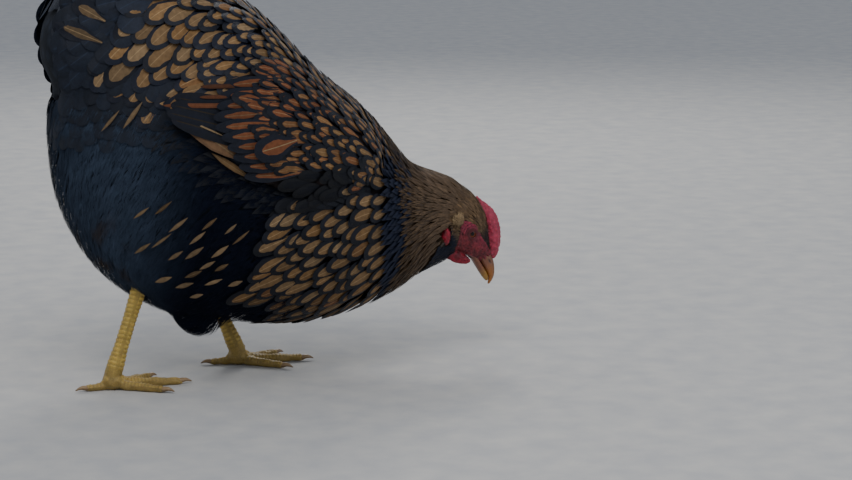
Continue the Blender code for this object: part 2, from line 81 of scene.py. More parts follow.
# How finely nodes are melted together: the voxels' size and the rounds of smoothing.
HULL_MELT, HEAD_MELT, BODY_MELT, FACE_MELT = (3.0, 4), (1.4, 4), (4.0, 8), (0.75, 5)
LEG_MELT, BILL_MELT, CLAW_MELT = (0.85, 4), (0.45, 5), (0.4, 3)

Guide = namedtuple("Guide", "place way reach")
GUIDES = (
    # head and neck
    Guide((305, 0, 158), (-0.53, 0, 0.85), 22),
    Guide((318, 0, 128), (-0.5, 0.1, 0.86), 16),
    Guide((288, 18, 142), (-0.62, 0.1, 0.75), 18),
    Guide((272, 22, 124), (-0.8, 0.2, 0.25), 20),
    Guide((268, 10, 104), (-0.8, 0.1, -0.4), 20),
    Guide((262, 0, 183), (-0.85, 0, 0.52), 30),
    Guide((255, 30, 140), (-0.95, 0.25, -0.05), 28),
    Guide((250, 25, 105), (-0.75, 0.2, -0.6), 28),
    Guide((228, 48, 165), (-0.95, 0.2, 0.15), 30),
    Guide((228, 45, 110), (-0.85, 0.3, -0.45), 30),
    Guide((230, 0, 80), (-0.86, 0, -0.5), 32),
    # back and saddle
    Guide((224, 0, 206), (-0.82, 0.1, 0.57), 32),
    Guide((177, 0, 262), (-0.72, 0.1, 0.69), 36),
    Guide((106, 0, 326), (-0.75, 0.1, 0.65), 38),
    Guide((40, 0, 375), (-0.93, 0.05, 0.36), 38),
    Guide((-20, 0, 392), (-0.92, 0.05, 0.38), 34),
    Guide((170, 70, 225), (-0.9, 0.2, 0.4), 36),
    Guide((100, 88, 300), (-0.9, 0.2, 0.2), 34),
    Guide((55, 70, 335), (-0.85, 0.2, -0.35), 34),
    Guide((10, 70, 330), (-0.76, 0.2, -0.64), 36),
    Guide((-45, 50, 325), (-0.74, 0.1, -0.66), 36),
    # tail
    Guide((-55, 0, 425), (-0.7, 0, 0.7), 30),
    Guide((-90, 25, 390), (-0.85, 0.1, 0.45), 32),
    Guide((-115, 35, 340), (-0.9, 0.1, -0.25), 32),
    Guide((-110, 40, 290), (-0.7, 0.1, -0.7), 34),
    # wing
    Guide((150, 105, 235), (-0.96, 0.1, 0.2), 34),
    Guide((80, 110, 255), (-0.99, 0, 0.1), 40),
    Guide((20, 100, 270), (-0.99, 0, 0.08), 36),
    # breast, belly, thigh and rear
    Guide((200, 75, 150), (-0.93, 0.3, -0.2), 34),
    Guide((150, 100, 125), (-0.95, 0.1, -0.3), 38),
    Guide((120, 75, 75), (-0.88, 0, -0.45), 38),
    Guide((180, 0, 55), (-0.93, 0, -0.3), 44),
    Guide((70, 95, 160), (-0.93, 0.1, -0.35), 36),
    Guide((60, 50, 55), (-0.9, 0, -0.3), 44),
    Guide((10, 78, 140), (-0.66, 0.1, -0.75), 38),
    Guide((-40, 70, 170), (-0.5, 0.1, -0.86), 40),
    Guide((-60, 80, 260), (-0.5, 0.1, -0.85), 40),
    Guide((-110, 0, 220), (-0.12, 0, -1), 46),
    Guide((-60, 0, 110), (0.25, 0, -1), 40),
)
GUIDE_PLACES = np.array([guide.place for guide in GUIDES], float)
GUIDE_WAYS = np.array([guide.way for guide in GUIDES], float)
GUIDE_REACH = np.array([guide.reach for guide in GUIDES], float)

# Bare red skin of the face, as (ahead of the eye, above the eye).
FACE_OUTLINE = (
    (-20, -4), (-12, 4.5), (-3, 8.5), (5, 7.5), (12, 7.5), (20, 8), (29, 8.5), (38, 8), (46, 7),
    (46, -12), (34, -14), (22, -20), (11, -24), (3, -21), (-3, -15), (-11, -9),
)


# ---------------------------------------------------------------- numbers and colours


def unit(vectors):
    return vectors / np.maximum(np.linalg.norm(vectors, axis=-1, keepdims=True), 1e-9)


def smooth(value, low=0.0, high=1.0):
    """0 below low, 1 above high, and a smooth rise between them."""
    t = np.clip((value - low) / (high - low), 0, 1)
    return t * t * (3 - 2 * t)


def linear(red, green, blue):
    """A colour given from 0 to 255 as the eye sees it, as the linear numbers that shaders use."""
    share = np.array((red, green, blue), float) / 255
    return np.where(share <= 0.04045, share / 12.92, ((share + 0.055) / 1.055) ** 2.4)


# The blue tint of BLACK and TAIL_BLACK is partly painted reflection of a blue sky, over the feathers' own
# near-black.
BLACK = linear(14, 19, 32)
TAIL_BLACK = linear(24, 31, 44)
SLATE = linear(60, 71, 88)
TAN = linear(126, 103, 74)
GOLD = linear(120, 90, 55)
ORANGE = linear(110, 64, 37)
BRONZE = linear(112, 86, 54)
HEAD_BROWN = linear(100, 80, 60)
SHAFT = linear(176, 148, 108)
EAR_TAN = linear(200, 172, 132)
COMB_RED = linear(174, 57, 80)
FACE_RED = linear(116, 34, 43)
FACE_PINK = linear(128, 34, 56)
WATTLE_RED = linear(134, 15, 37)


# ---------------------------------------------------------------- meshes


def hen_points(points):
    """Frame metres to hen millimetres."""
    return (np.asarray(points, float) - ORIGIN) / MM


def world(points):
    """Hen millimetres to frame metres."""
    return np.asarray(points, float) * MM + ORIGIN


def find_origin():
    """The point between the feet, from where the frame has its eyes."""
    corners = [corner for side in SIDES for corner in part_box("eye_" + side)]
    return np.array(sum(corners, Vector()) / len(corners) - EYE_MIDDLE * MM)


def head_point(ahead, up, out):
    return np.array(EYE_MIDDLE) + AHEAD * ahead + HEAD_UP * up + np.array((0, out, 0))


def head_frame(points):
    """How far points lie ahead of and above the eyes' line."""
    from_eyes = points - np.array(EYE_MIDDLE)
    return from_eyes @ AHEAD, from_eyes @ HEAD_UP


def arrays(mesh):
    """A mesh's points and triangles."""
    mesh.calc_loop_triangles()
    points = np.empty(len(mesh.vertices) * 3, np.float32)
    mesh.vertices.foreach_get("co", points)
    triangles = np.empty(len(mesh.loop_triangles) * 3, np.int32)
    mesh.loop_triangles.foreach_get("vertices", triangles)
    return points.reshape(-1, 3).astype(float), triangles.reshape(-1, 3)


def point_normals(mesh):
    normals = np.empty(len(mesh.vertices) * 3, np.float32)
    mesh.vertex_normals.foreach_get("vector", normals)
    return normals.reshape(-1, 3).astype(float)


def put_points(mesh, points):
    """Moves a mesh's points to these places of the hen."""
    mesh.vertices.foreach_set("co", world(points).astype(np.float32).ravel())


def node_meshes(names):
    return [frame["nodes"][name].data for name in names]


def linked(name, mesh):
    piece = bpy.data.objects.new(name, mesh)
    bpy.context.scene.collection.objects.link(piece)
    return piece


def mesh_from(form, name):
    """Turns a bmesh into a mesh, and frees it."""
    mesh = bpy.data.meshes.new(name)
    form.to_mesh(mesh)
    form.free()
    return mesh


def fused(name, meshes, voxel, smoothings):
    """One closed mesh round several shapes, with their facets smoothed. The sizes are millimetres."""
    form = bmesh.new()
    for mesh in meshes:
        form.from_mesh(mesh)
    joined = mesh_from(form, name)
    piece = linked(name, joined)
    remesh = piece.modifiers.new("Remesh", "REMESH")
    remesh.mode = "VOXEL"
    remesh.voxel_size = voxel * MM
    soften = piece.modifiers.new("Smooth", "SMOOTH")
    soften.factor = 0.5
    soften.iterations = smoothings
    seen = piece.evaluated_get(bpy.context.evaluated_depsgraph_get())
    result = bpy.data.meshes.new_from_object(seen)
    bpy.data.objects.remove(piece)
    bpy.data.meshes.remove(joined)
    result.name = name
    return result


class Surface:
    """A closed mesh that feathers lie on."""

    def __init__(self, mesh):
        points, self.triangles = arrays(mesh)
        self.points = hen_points(points)
        self.normals = point_normals(mesh)
        self.tree = BVHTree.FromPolygons(self.points.tolist(), self.triangles.tolist())

    def nearest(self, places):
        """The nearest places on the surface, and its smooth normals there."""
        found = [self.tree.find_nearest(place) for place in places.tolist()]
        on = np.array([tuple(hit[0]) for hit in found])
        corners = self.triangles[[hit[2] for hit in found]]
        return on, self._normal(on, corners)

    def _normal(self, on, corners):
        a, b, c = (self.points[corners[:, i]] for i in range(3))
        whole = np.maximum(np.linalg.norm(np.cross(b - a, c - a), axis=1), 1e-9)
        share_b = np.linalg.norm(np.cross(on - a, c - a), axis=1) / whole
        share_c = np.linalg.norm(np.cross(on - a, b - a), axis=1) / whole
        shares = np.stack((1 - share_b - share_c, share_b, share_c), 1)
        return unit((self.normals[corners] * shares[..., None]).sum(1))

    def scattered(self, count, rng):
        """Places spread evenly at random over the surface."""
        a, b, c = (self.points[self.triangles[:, i]] for i in range(3))
        area = np.linalg.norm(np.cross(b - a, c - a), axis=1)
        pick = rng.choice(len(area), count, p=area / area.sum())
        s, t = rng.random((2, count, 1))
        over = s + t > 1
        s, t = np.where(over, 1 - s, s), np.where(over, 1 - t, t)
        return a[pick] + (b[pick] - a[pick]) * s + (c[pick] - a[pick]) * t

    def side_y(self, x, z, side):
        """How far out the surface reaches at a side-view place, or None off its outline."""
        hit = self.tree.ray_cast(Vector((x, side * 300, z)), Vector((0, -side, 0)))
        return None if hit[0] is None else hit[0].y * side


class Owners:
    """Says which of the frame's nodes a place belongs to."""

    def __init__(self, names):
        self.names = np.array(names)
        points, triangles, self.owner = [], [], []
        for index, name in enumerate(names):
            own_points, own_triangles = arrays(frame["nodes"][name].data)
            triangles += (own_triangles + len(points)).tolist()
            points += hen_points(own_points).tolist()
            self.owner += [index] * len(own_triangles)
        self.owner = np.array(self.owner)
        self.tree = BVHTree.FromPolygons(points, triangles)

    def of(self, places):
        return self.names[self.owner[[self.tree.find_nearest(p)[2] for p in places.tolist()]]]


def inside_outline(x, y, outline):
    """Which of the points lie inside a closed outline."""
    inside = np.zeros(len(x), bool)
    for (x0, y0), (x1, y1) in zip(outline, outline[1:] + outline[:1]):
        crosses = (y0 > y) != (y1 > y)
        inside ^= crosses & (x < (x1 - x0) * (y - y0) / (y1 - y0 + 1e-12) + x0)
    return inside


def bare_face(points):
    """Where the head has no feathers."""
    ahead, up = head_frame(points)
    return inside_outline(ahead, up, FACE_OUTLINE) & (np.abs(points[:, 1]) > 4)


# ---------------------------------------------------------------- materials


class Shader:
    """A new material's node tree, with the few moves that the finishes below need."""

    def __init__(self, name, **sockets):
        self.material = bpy.data.materials.new(name)
        self.material.use_nodes = True
        self.nodes = self.material.node_tree.nodes
        self.links = self.material.node_tree.links
        self.principled = self.nodes["Principled BSDF"]
        for socket, value in sockets.items():
            self.principled.inputs[socket.replace("_", " ")].default_value = value

    def node(self, kind, inputs=(), **settings):
        made = self.nodes.new("ShaderNode" + kind)
        for key, value in settings.items():
            setattr(made, key, value)
        for socket, value in dict(inputs).items():
            self.put(value, made.inputs[socket])
        return made

    def put(self, value, socket):
        if isinstance(value, bpy.types.NodeSocket):
            self.links.new(value, socket)
        else:
            socket.default_value = value

    def math(self, operation, *values):
        return self.node("Math", enumerate(values), operation=operation).outputs[0]

    def remapped(self, value, low, high, to_low, to_high):
        inputs = {0: value, 1: low, 2: high, 3: to_low, 4: to_high}
        return self.node("MapRange", inputs).outputs[0]

    def scaled(self, colour, factor):
        """A colour made brighter or darker by a factor that may vary."""
        return self.node("VectorMath", {0: colour, "Scale": factor}, operation="SCALE").outputs[0]

    def noise(self, vector, scale, detail=3.0):
        inputs = {"Vector": vector, "Scale": scale, "Detail": detail}
        return self.node("TexNoise", inputs).outputs[0]

    def bump(self, height, distance, strength=1.0):
        inputs = {"Height": height, "Distance": distance, "Strength": strength}
        self.put(self.node("Bump", inputs).outputs[0], self.principled.inputs["Normal"])

    def colour(self, value):
        self.put(value, self.principled.inputs["Base Color"])

    def tone(self):
        """The colour painted on the mesh."""
        return self.node("Attribute", attribute_name="Tone").outputs["Color"]

    def position(self):
        return self.node("TexCoord").outputs["Object"]


def plumage_material():
    """Feathers: each face's own colour, fine slanting barbs, and gloss on the black."""
    shader = Shader("plumage", Specular_IOR_Level=0.25)
    tone = shader.node("Attribute", attribute_name="Tone")
    vane = shader.node("UVMap", uv_map="Vane").outputs[0]
    parts = shader.node("SeparateXYZ", {0: vane})
    slant = shader.math("MULTIPLY", shader.math("ABSOLUTE", parts.outputs[0]), 1.1)
    along = shader.math("SUBTRACT", parts.outputs[1], slant)
    wobble = shader.noise(vane, 1.6, 2.0)
    phase = shader.math("ADD", shader.math("MULTIPLY", along, 9.0), shader.math("MULTIPLY", wobble, 5.0))
    barbs = shader.math("SINE", phase)
    patch = shader.noise(shader.position(), 260.0, 3.0)
    light = shader.math(
        "ADD", shader.remapped(patch, 0.3, 0.7, 0.78, 1.18), shader.math("MULTIPLY", barbs, 0.05)
    )
    shader.colour(shader.scaled(tone.outputs["Color"], light))
    shader.put(
        shader.remapped(tone.outputs["Alpha"], 0, 1, 0.42, 0.8), shader.principled.inputs["Roughness"]
    )
    shader.bump(barbs, 0.00008, 0.5)
    return shader.material


def down_material():
    """Fluff and bristles: soft strands without gloss."""
    shader = Shader("down", Roughness=0.95, Specular_IOR_Level=0.08)
    tone = shader.tone()
    patch = shader.noise(shader.position(), 40.0, 4.0)
    shader.colour(shader.scaled(tone, shader.remapped(patch, 0.3, 0.7, 0.84, 1.14)))
    return shader.material


def body_skin_material():
    """The skin under the coat, in the coat's own colours."""
    shader = Shader("body_skin", Roughness=0.85, Specular_IOR_Level=0.2)
    tone = shader.tone()
    spots = shader.node("TexVoronoi", {"Vector": shader.position(), "Scale": 75.0}).outputs["Distance"]
    shader.colour(shader.scaled(tone, shader.remapped(spots, 0.1, 0.6, 1.3, 0.5)))
    shader.bump(shader.noise(shader.position(), 400.0), 0.0004)
    return shader.material


def red_skin_material():
    """Comb, face, wattles and lobes: translucent, finely pebbled and folded."""
    shader = Shader(
        "red_skin",
        Roughness=0.5,
        Specular_IOR_Level=0.4,
        Subsurface_Weight=0.25,
        Subsurface_Scale=0.002,
    )
    tone = shader.tone()
    mottle = shader.noise(shader.position(), 330.0, 4.0)
    pebbles = shader.node("TexVoronoi", {"Vector": shader.position(), "Scale": 1100.0}).outputs["Distance"]
    # Lighter in each pebble's middle and darker between the pebbles: painted shade, over a random mottle.
    light = shader.math(
        "MULTIPLY",
        shader.remapped(mottle, 0.3, 0.7, 0.75, 1.2),
        shader.remapped(pebbles, 0.0, 0.6, 1.12, 0.82),
    )
    shader.colour(shader.scaled(tone, light))
    shader.bump(pebbles, -0.00022, 0.8)
    return shader.material


def scale_material():
    """Yellow leg skin, darker in the grooves between its scales."""
    shader = Shader("leg_scales", Roughness=0.48, Specular_IOR_Level=0.45, Subsurface_Weight=0.08)
    shader.principled.inputs["Subsurface Scale"].default_value = 0.0015
    tone = shader.tone()
    small = shader.node(
        "TexVoronoi", {"Vector": shader.position(), "Scale": 620.0}, feature="DISTANCE_TO_EDGE"
    ).outputs["Distance"]
    mottle = shader.noise(shader.position(), 130.0, 4.0)
    light = shader.math(
        "MULTIPLY", shader.remapped(mottle, 0.3, 0.7, 0.74, 1.14), shader.remapped(small, 0, 0.12, 0.72, 1)
    )
    shader.colour(shader.scaled(tone, light))
    shader.bump(shader.remapped(small, 0, 0.2, 0, 1), 0.00018, 0.7)
    return shader.material


def horn_material(name, roughness):
    """Beak and claws: horn with fine growth lines."""
    shader = Shader(name, Roughness=roughness, Specular_IOR_Level=0.5, Coat_Weight=0.25, Coat_Roughness=0.25)
    tone = shader.tone()
    grain = shader.noise(shader.position(), 520.0, 5.0)
    shader.colour(shader.scaled(tone, shader.remapped(grain, 0.3, 0.7, 0.82, 1.14)))
    shader.bump(grain, 0.00015, 0.5)
    return shader.material


def eye_material():
    """The eyeball under its wet film."""
    shader = Shader("eyeball", Roughness=0.2, Specular_IOR_Level=0.2, Coat_Weight=0.25, Coat_Roughness=0.03)
    tone = shader.tone()
    streaks = shader.noise(shader.position(), 1800.0, 2.0)
    shader.colour(shader.scaled(tone, shader.remapped(streaks, 0.3, 0.7, 0.75, 1.25)))
    return shader.material


def painted(mesh, colours, alpha=1.0):
    """Gives a mesh's points their colours."""
    layer = mesh.color_attributes.new("Tone", "FLOAT_COLOR", "POINT")
    values = np.ones((len(mesh.vertices), 4), np.float32)
    values[:, :3] = colours
    values[:, 3] = alpha
    layer.data.foreach_set("color", values.ravel())


# ---------------------------------------------------------------- feather templates

Template = namedtuple("Template", "x y z triangles kinds shade")
INNER, OUTER, QUILL = 0, 1, 2  # the colour kinds of a vane's faces


def broad(y):
    """Half width of a broad, round-ended feather along its length."""
    rise = 0.22 + 0.78 * smooth(y, 0, 0.6)
    return rise * np.sqrt(np.clip(1 - np.clip((y - 0.56) / 0.44, 0, 1) ** 2.3, 0, 1))


def pointed(y):
    """Half width of a narrow, pointed hackle feather."""
    return (0.35 + 0.65 * smooth(y, 0, 0.3)) * np.clip(1 - np.clip((y - 0.35) / 0.65, 0, 1) ** 1.7, 0, 1)


def lens(y):
    """Half width of a spindle with two sharp ends."""
    return np.sin(np.clip(y, 0.02, 1) * math.pi) ** 0.9


def blade(y):
    """Half width of a long flight feather."""
    rise = 0.45 + 0.55 * smooth(y, 0, 0.3)
    return rise * np.sqrt(np.clip(1 - np.clip((y - 0.72) / 0.28, 0, 1) ** 2, 0, 1))


def vane(profile, lace_side, lace_tip, rows, quill=0.035, inner_from=0.0, ripple=0.0, seed=0):
    """A flat feather: an inner field round its shaft, and a lace along its sides and tip."""
    rng = np.random.default_rng(seed)
    y = np.sin(np.linspace(0, 1, rows) * math.pi / 2)
    width = profile(y)
    wave = 1 + ripple * rng.uniform(-1, 1, rows)
    inner_width = (1 - lace_side) * width * wave
    inner_y = y * (1 - lace_tip)
    shaft_y = np.maximum(inner_y - 0.1 * width, 0)
    quill_width = np.minimum(quill, inner_width * 0.5)
    columns = (
        (-width * (1 + ripple * 0.5 * rng.uniform(-1, 1, rows)), y),
        (-inner_width, inner_y),
        (-(inner_width + quill_width) / 2, (inner_y + shaft_y) / 2),
        (-quill_width, shaft_y),
        (quill_width, shaft_y),
        ((inner_width + quill_width) / 2, (inner_y + shaft_y) / 2),
        (inner_width, inner_y),
        (width * (1 + ripple * 0.5 * rng.uniform(-1, 1, rows)), y),
    )
    last = rows - 1
    points = [(column[0][row], column[1][row]) for row in range(last) for column in columns]
    inner_tip, outer_tip = len(points), len(points) + 1
    points += [(0, 1 - lace_tip), (0, 1)]
    kinds_across = (OUTER, INNER, INNER, QUILL, INNER, INNER, OUTER)
    triangles, kinds = [], []
    for row in range(last):
        for column, kind in enumerate(kinds_across):
            a = row * 8 + column
            b = a + 1
            if kind != OUTER and y[row] < inner_from:
                kind = OUTER
            if row < last - 1:
                faces = ((a, b, b + 8), (a, b + 8, a + 8))
            elif column == 0:
                faces = ((a, b, inner_tip), (a, inner_tip, outer_tip))
            elif column == 6:
                faces = ((a, b, outer_tip), (a, outer_tip, inner_tip))
            else:
                faces = ((a, b, inner_tip),)
            triangles += faces
            kinds += [kind] * len(faces)
    x, y = np.array(points, float).T
    return Template(x, y, np.zeros(len(x)), np.array(triangles), np.array(kinds), np.ones(len(x)))


def plain_vane(profile, rows, columns=5):
    """A flat feather of one colour with few faces."""
    y = np.sin(np.linspace(0, 1, rows) * math.pi / 2)
    across = np.linspace(-1, 1, columns)
    last = rows - 1
    points = [(profile(y[row]) * s, y[row] - 0.05 * (1 - abs(s))) for row in range(last) for s in across]
    points.append((0, 1))
    triangles = []
    for row in range(last):
        for column in range(columns - 1):
            a = row * columns + column
            if row < last - 1:
                triangles += [(a, a + 1, a + 1 + columns), (a, a + 1 + columns, a + columns)]
            else:
                triangles.append((a, a + 1, len(points) - 1))
    x, y = np.array(points, float).T
    y = np.maximum(y, 0)
    zero = np.zeros(len(x))
    return Template(x, y, zero, np.array(triangles), np.zeros(len(triangles), int), zero + 1)


def tuft(strands, rows, fan, thickness, rise, seed):
    """A bunch of thin strands that spread from one root and taper to points."""
    rng = np.random.default_rng(seed)
    points, heights, shades, triangles = [], [], [], []
    for _ in range(strands):
        start = rng.uniform(-0.25, 0.25)
        spread = rng.uniform(-fan, fan)
        bend = rng.uniform(-0.5, 0.5) * fan
        length = rng.uniform(0.65, 1.0)
        top = rng.uniform(0, rise)
        shade = rng.uniform(0.85, 1.15)
        first = len(points)
        for t in np.linspace(0, 1, rows)[:-1]:
            middle = start + spread * t + bend * t * t
            half = thickness * (1 - 0.6 * t)
            points += [(middle - half, length * t), (middle + half, length * t)]
            heights += [top * t, top * t + 0.2 * thickness]
            # Each strand is darker at its root and lighter towards its tip: painted shade.
            shades += [shade * (0.8 + 0.3 * t)] * 2
        points.append((start + spread + bend, length))
        heights.append(top)
        shades.append(shade * 1.1)
        for row in range(rows - 2):
            a = first + row * 2
            triangles += [(a, a + 1, a + 3), (a, a + 3, a + 2)]
        triangles.append((len(points) - 3, len(points) - 2, len(points) - 1))
    x, y = np.array(points, float).T
    kinds = np.zeros(len(triangles), int)
    return Template(x, y, np.array(heights), np.array(triangles), kinds, np.array(shades))


# ---------------------------------------------------------------- laying feathers


def flow(places, normals):
    """Unit directions in which feathers lie at these places: the guides' mix, laid flat on the surface."""
    side = np.where(places[:, 1] < 0, -1.0, 1.0)
    mirrored = places.copy()
    mirrored[:, 1] *= side
    away = ((mirrored[:, None] - GUIDE_PLACES) ** 2).sum(-1)
    weights = np.exp(-away / (GUIDE_REACH**2)) + 1e-5 / (1 + away / 1000)
    ways = weights @ GUIDE_WAYS
    ways[:, 1] *= side
    ways -= normals * (ways * normals).sum(-1, keepdims=True)
    return unit(ways)


def walked(surface, roots, reach, turn, steps, stiffness=0.0):
    """Lines that run from the roots with the flow: their knots, ways and normals, each (roots, knots, 3)."""
    place, normal = surface.nearest(roots)
    way = flow(place, normal)
    way = unit(way + np.cross(normal, way) * np.tan(turn)[:, None])
    knots, ways, normals = [place], [way], [normal]
    stride = (reach / steps)[:, None]
    for _ in range(steps):
        ahead = place + way * stride
        on, flat_normal = surface.nearest(ahead)
        place = on * (1 - stiffness) + ahead * stiffness
        normal = unit(flat_normal * (1 - stiffness) + normal * stiffness)
        bent = flow(place, normal)
        way = way * (0.55 + 0.45 * stiffness) + bent * (0.45 * (1 - stiffness))
        way = unit(way - normal * (way * normal).sum(-1, keepdims=True) * (1 - stiffness))
        knots.append(place)
        ways.append(way)
        normals.append(normal)
    return np.stack(knots, 1), np.stack(ways, 1), np.stack(normals, 1)


def laid(template, lines, half_width, depth, cup, height, curl=1.0):
    """The template's points along each line: (feathers, points, 3)."""
    knots, ways, normals = lines
    steps = knots.shape[1] - 1
    at = np.clip(template.y * steps, 0, steps - 1e-6)
    low = at.astype(int)
    part = (at - low)[None, :, None]

    def along(values):
        return values[:, low] * (1 - part) + values[:, low + 1] * part

    place, way, normal = along(knots), along(ways), unit(along(normals))
    across = unit(np.cross(normal, way))
    x = template.x[None] * half_width[:, None]
    fall = -depth[:, None] * (1 - template.y[None]) ** curl
    bend = -cup * template.x[None] ** 2 * half_width[:, None] * template.y[None] ** 0.5
    lift = fall + bend + height[:, None] + template.z[None] * half_width[:, None]
    return place + across * x[..., None] + normal * lift[..., None]


def spread_out(places, spacing, rank):
    """Keeps places that lie no nearer to each other than their spacing, in the order of rank."""
    tree = KDTree(len(places))
    for index, place in enumerate(places):
        tree.insert(place, index)
    tree.balance()
    free = np.ones(len(places), bool)
    kept = []
    for index in np.argsort(rank):
        if free[index]:
            kept.append(index)
            for _, near, _ in tree.find_range(places[index], spacing[index]):
                free[near] = False
    return np.array(kept, int)


def unwrapped(places):
    """Where places lie on an unwrap of the body: round its long axis, and along it from tail to bill."""
    rear, front = np.array((-120.0, 0, 265.0)), np.array((330.0, 0, 110.0))
    axis = unit(front - rear)
    from_rear = places - rear
    along = from_rear @ axis / np.linalg.norm(front - rear)
    off = from_rear - np.outer(from_rear @ axis, axis)
    above = off @ unit(np.cross(axis, (0, 1.0, 0)))
    turn = np.arctan2(places[:, 1], -above) / (2 * math.pi) + 0.5
    return np.stack((turn, np.clip(0.08 + 0.84 * along, 0, 1)), 1)


class Coat:
    """Many feathers joined into one piece, with their colours and bake patches."""

    def __init__(self, name, material, slot="plumage"):
        self.name, self.material, self.slot = name, material, slot
        self.points, self.triangles, self.tones, self.vanes, self.patches = [], [], [], [], []
        self.used = 0

    def add(self, template, points, palette, alpha, roots, half_width, reach):
        """palette is (feathers, kinds, 3); alpha is each kind's dullness, from 0 for gloss to 1."""
        count, size = points.shape[:2]
        first = self.used + np.arange(count) * size
        self.points.append(points.reshape(-1, 3))
        self.triangles.append((template.triangles[None] + first[:, None, None]).reshape(-1, 3))
        self.used += count * size
        tone = np.empty((count, len(template.kinds), 3, 4), np.float32)
        tone[..., :3] = palette[:, template.kinds][:, :, None]
        tone[..., :3] *= template.shade[template.triangles][None, ..., None]
        tone[..., 3] = np.array(alpha)[template.kinds][None, :, None]
        self.tones.append(tone.reshape(-1, 4))
        flat = np.stack((template.x, template.y), 1)[template.triangles]
        scale = np.stack((half_width, reach), 1)
        self.vanes.append((flat[None] * scale[:, None, None]).reshape(-1, 2))
        half = np.where(template.kinds == OUTER, 0.5, 0.0)
        root = unwrapped(roots) * (0.5, 1.0)
        patch = np.empty((count, len(template.kinds), 3, 2))
        patch[...] = root[:, None, None] + (flat * (0.5, 1.0) - (0, 0.5))[None] * BAKE_PATCH
        patch[..., 0] = np.clip(patch[..., 0], 0.001, 0.499) + half[None, :, None]
        patch[..., 1] = np.clip(patch[..., 1], 0.001, 0.999)
        self.patches.append(patch.reshape(-1, 2))

    def made(self):
        mesh = bpy.data.meshes.new(self.name)
        mesh.from_pydata(world(np.concatenate(self.points)), [], np.concatenate(self.triangles))
        mesh.shade_smooth()
        tone = mesh.color_attributes.new("Tone", "FLOAT_COLOR", "CORNER")
        tone.data.foreach_set("color", np.concatenate(self.tones).ravel())
        for name, values in (("OFBake", self.patches), ("Vane", self.vanes)):
            layer = mesh.uv_layers.new(name=name)
            layer.uv.foreach_set("vector", np.concatenate(values).astype(np.float32).ravel())
        mesh.materials.append(self.material)
        piece = linked(self.name, mesh)
        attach(piece, "root")
        print(self.name, len(mesh.polygons), "triangles")
        return piece


def for_all_kinds(tone):
    """The same colour for a feather's field, lace and shaft."""
    return np.repeat(tone[:, None], 3, 1)


def mixed(colour_a, colour_b, share, rng, spread):
    """One colour for each feather between two, some lighter and some darker."""
    share = np.asarray(share)[:, None]
    light = rng.normal(1, spread, (len(share), 1)).clip(0.5, 1.6)
    return (colour_a * (1 - share) + colour_b * share) * light


def lay_many(coat, templates, surface, roots, reach, half_width, colours, alpha, rng, **how):
    """Lays a feather at each root, taking the templates in turn. colours is (roots, kinds, 3)."""
    depth = how.get("depth", 8.0)
    lines = walked(
        surface, roots, reach, rng.normal(0, how.get("turn", 0.1), len(roots)), how.get("steps", 5),
        how.get("stiffness", 0.0),
    )
    height = rng.uniform(-0.3, 0.3, len(roots)) + how.get("proud", 0.0)
    for number, template in enumerate(templates):
        own = slice(number, None, len(templates))
        points = laid(
            template, [part[own] for part in lines], half_width[own],
            np.broadcast_to(depth, len(roots))[own], how.get("cup", 0.16), height[own], how.get("curl", 1.6),
        )
        coat.add(template, points, colours[own], alpha, roots[own], half_width[own], reach[own])


# ---------------------------------------------------------------- the coat's regions


class Plan:
    """Candidate roots over the body, with what each region's feathers need to know about them."""

    def __init__(self, surface, owners, rng, count):
        self.surface, self.rng = surface, rng
        self.places = surface.scattered(count, rng)
        _, self.normals = surface.nearest(self.places)
        self.owner = owners.of(self.places)
        self.out = np.abs(self.places[:, 1])

    def owned(self, word):
        return np.char.startswith(self.owner, word)

    def chosen(self, mask, spacing):
        """Roots among the masked places, packed from the head backwards."""
        index = np.nonzero(mask)[0]
        space = np.broadcast_to(spacing, len(self.places))[index]
        rank = -self.places[index, 0] - 0.6 * self.places[index, 2] + self.rng.normal(0, 1.5, len(index))
        return self.places[index[spread_out(self.places[index], space, rank)]]


def zones(plan):
    """Which candidate roots belong to which kind of feather."""
    x, z = plan.places[:, 0], plan.places[:, 2]
    trunk = plan.owned("trunk")
    under = plan.normals[:, 2] < -0.55
    saddle_edge = np.interp(x, (-90, -40, 0, 40, 80), (318, 311, 300, 285, 262))
    upper = trunk & ((z > saddle_edge) | (x > 60) & (z > 205) | (x > 110) & (z > 190))
    upper |= plan.owned("wing") & (x < 58) & (z > 284)
    band = trunk & (x > 197 - 0.06 * (z - 120)) & (z < 205)
    upper &= ~band
    breast = trunk & ~upper & ~band & (x > 66 + 0.25 * (z - 100)) & ~(under & (x < 100))
    rear = trunk & ~upper & ~band & ~breast
    return {
        "upper": upper,
        "band": band,
        "breast": breast,
        "rump": rear & (z > 262),
        "fluff": rear & (z < 278),
    }


LACED = [vane(broad, 0.48, 0.16, 11, ripple=0.15, seed=n) for n in range(8)]
LACED_WIDE = [vane(broad, 0.32, 0.11, 13, ripple=0.09, seed=n + 10) for n in range(6)]
BREAST = [vane(broad, 0.42, 0.14, 11, ripple=0.1, seed=n + 80) for n in range(6)]
COVERT = [vane(broad, 0.52, 0.17, 10, ripple=0.16, seed=n + 20) for n in range(8)]
HACKLE = [vane(pointed, 0.5, 0.12, 7, quill=0.06, ripple=0.1, seed=n + 30) for n in range(3)]
FLAME = [vane(lens, 0.3, 0.05, 9, quill=0.06, ripple=0.12, seed=n + 40) for n in range(3)]
BLACK_VANE = [plain_vane(pointed, 7, 5)]
BLACK_BROAD = [vane(broad, 0.4, 0.03, 12, quill=0.03, ripple=0.03, seed=90)]
SMALL_VANE = [plain_vane(pointed, 4, 3)]
QUILLED = [vane(blade, 0.5, 0.03, 14, quill=0.06, seed=60)]
FLUFF = [tuft(13, 4, 1.3, 0.06, 0.25, n + 50) for n in range(6)]
BRISTLE = [tuft(5, 4, 0.7, 0.07, 0.5, n + 70) for n in range(4)]
QUILL_SHAPES = {"plain": QUILLED, "laced": COVERT, "flame": FLAME}


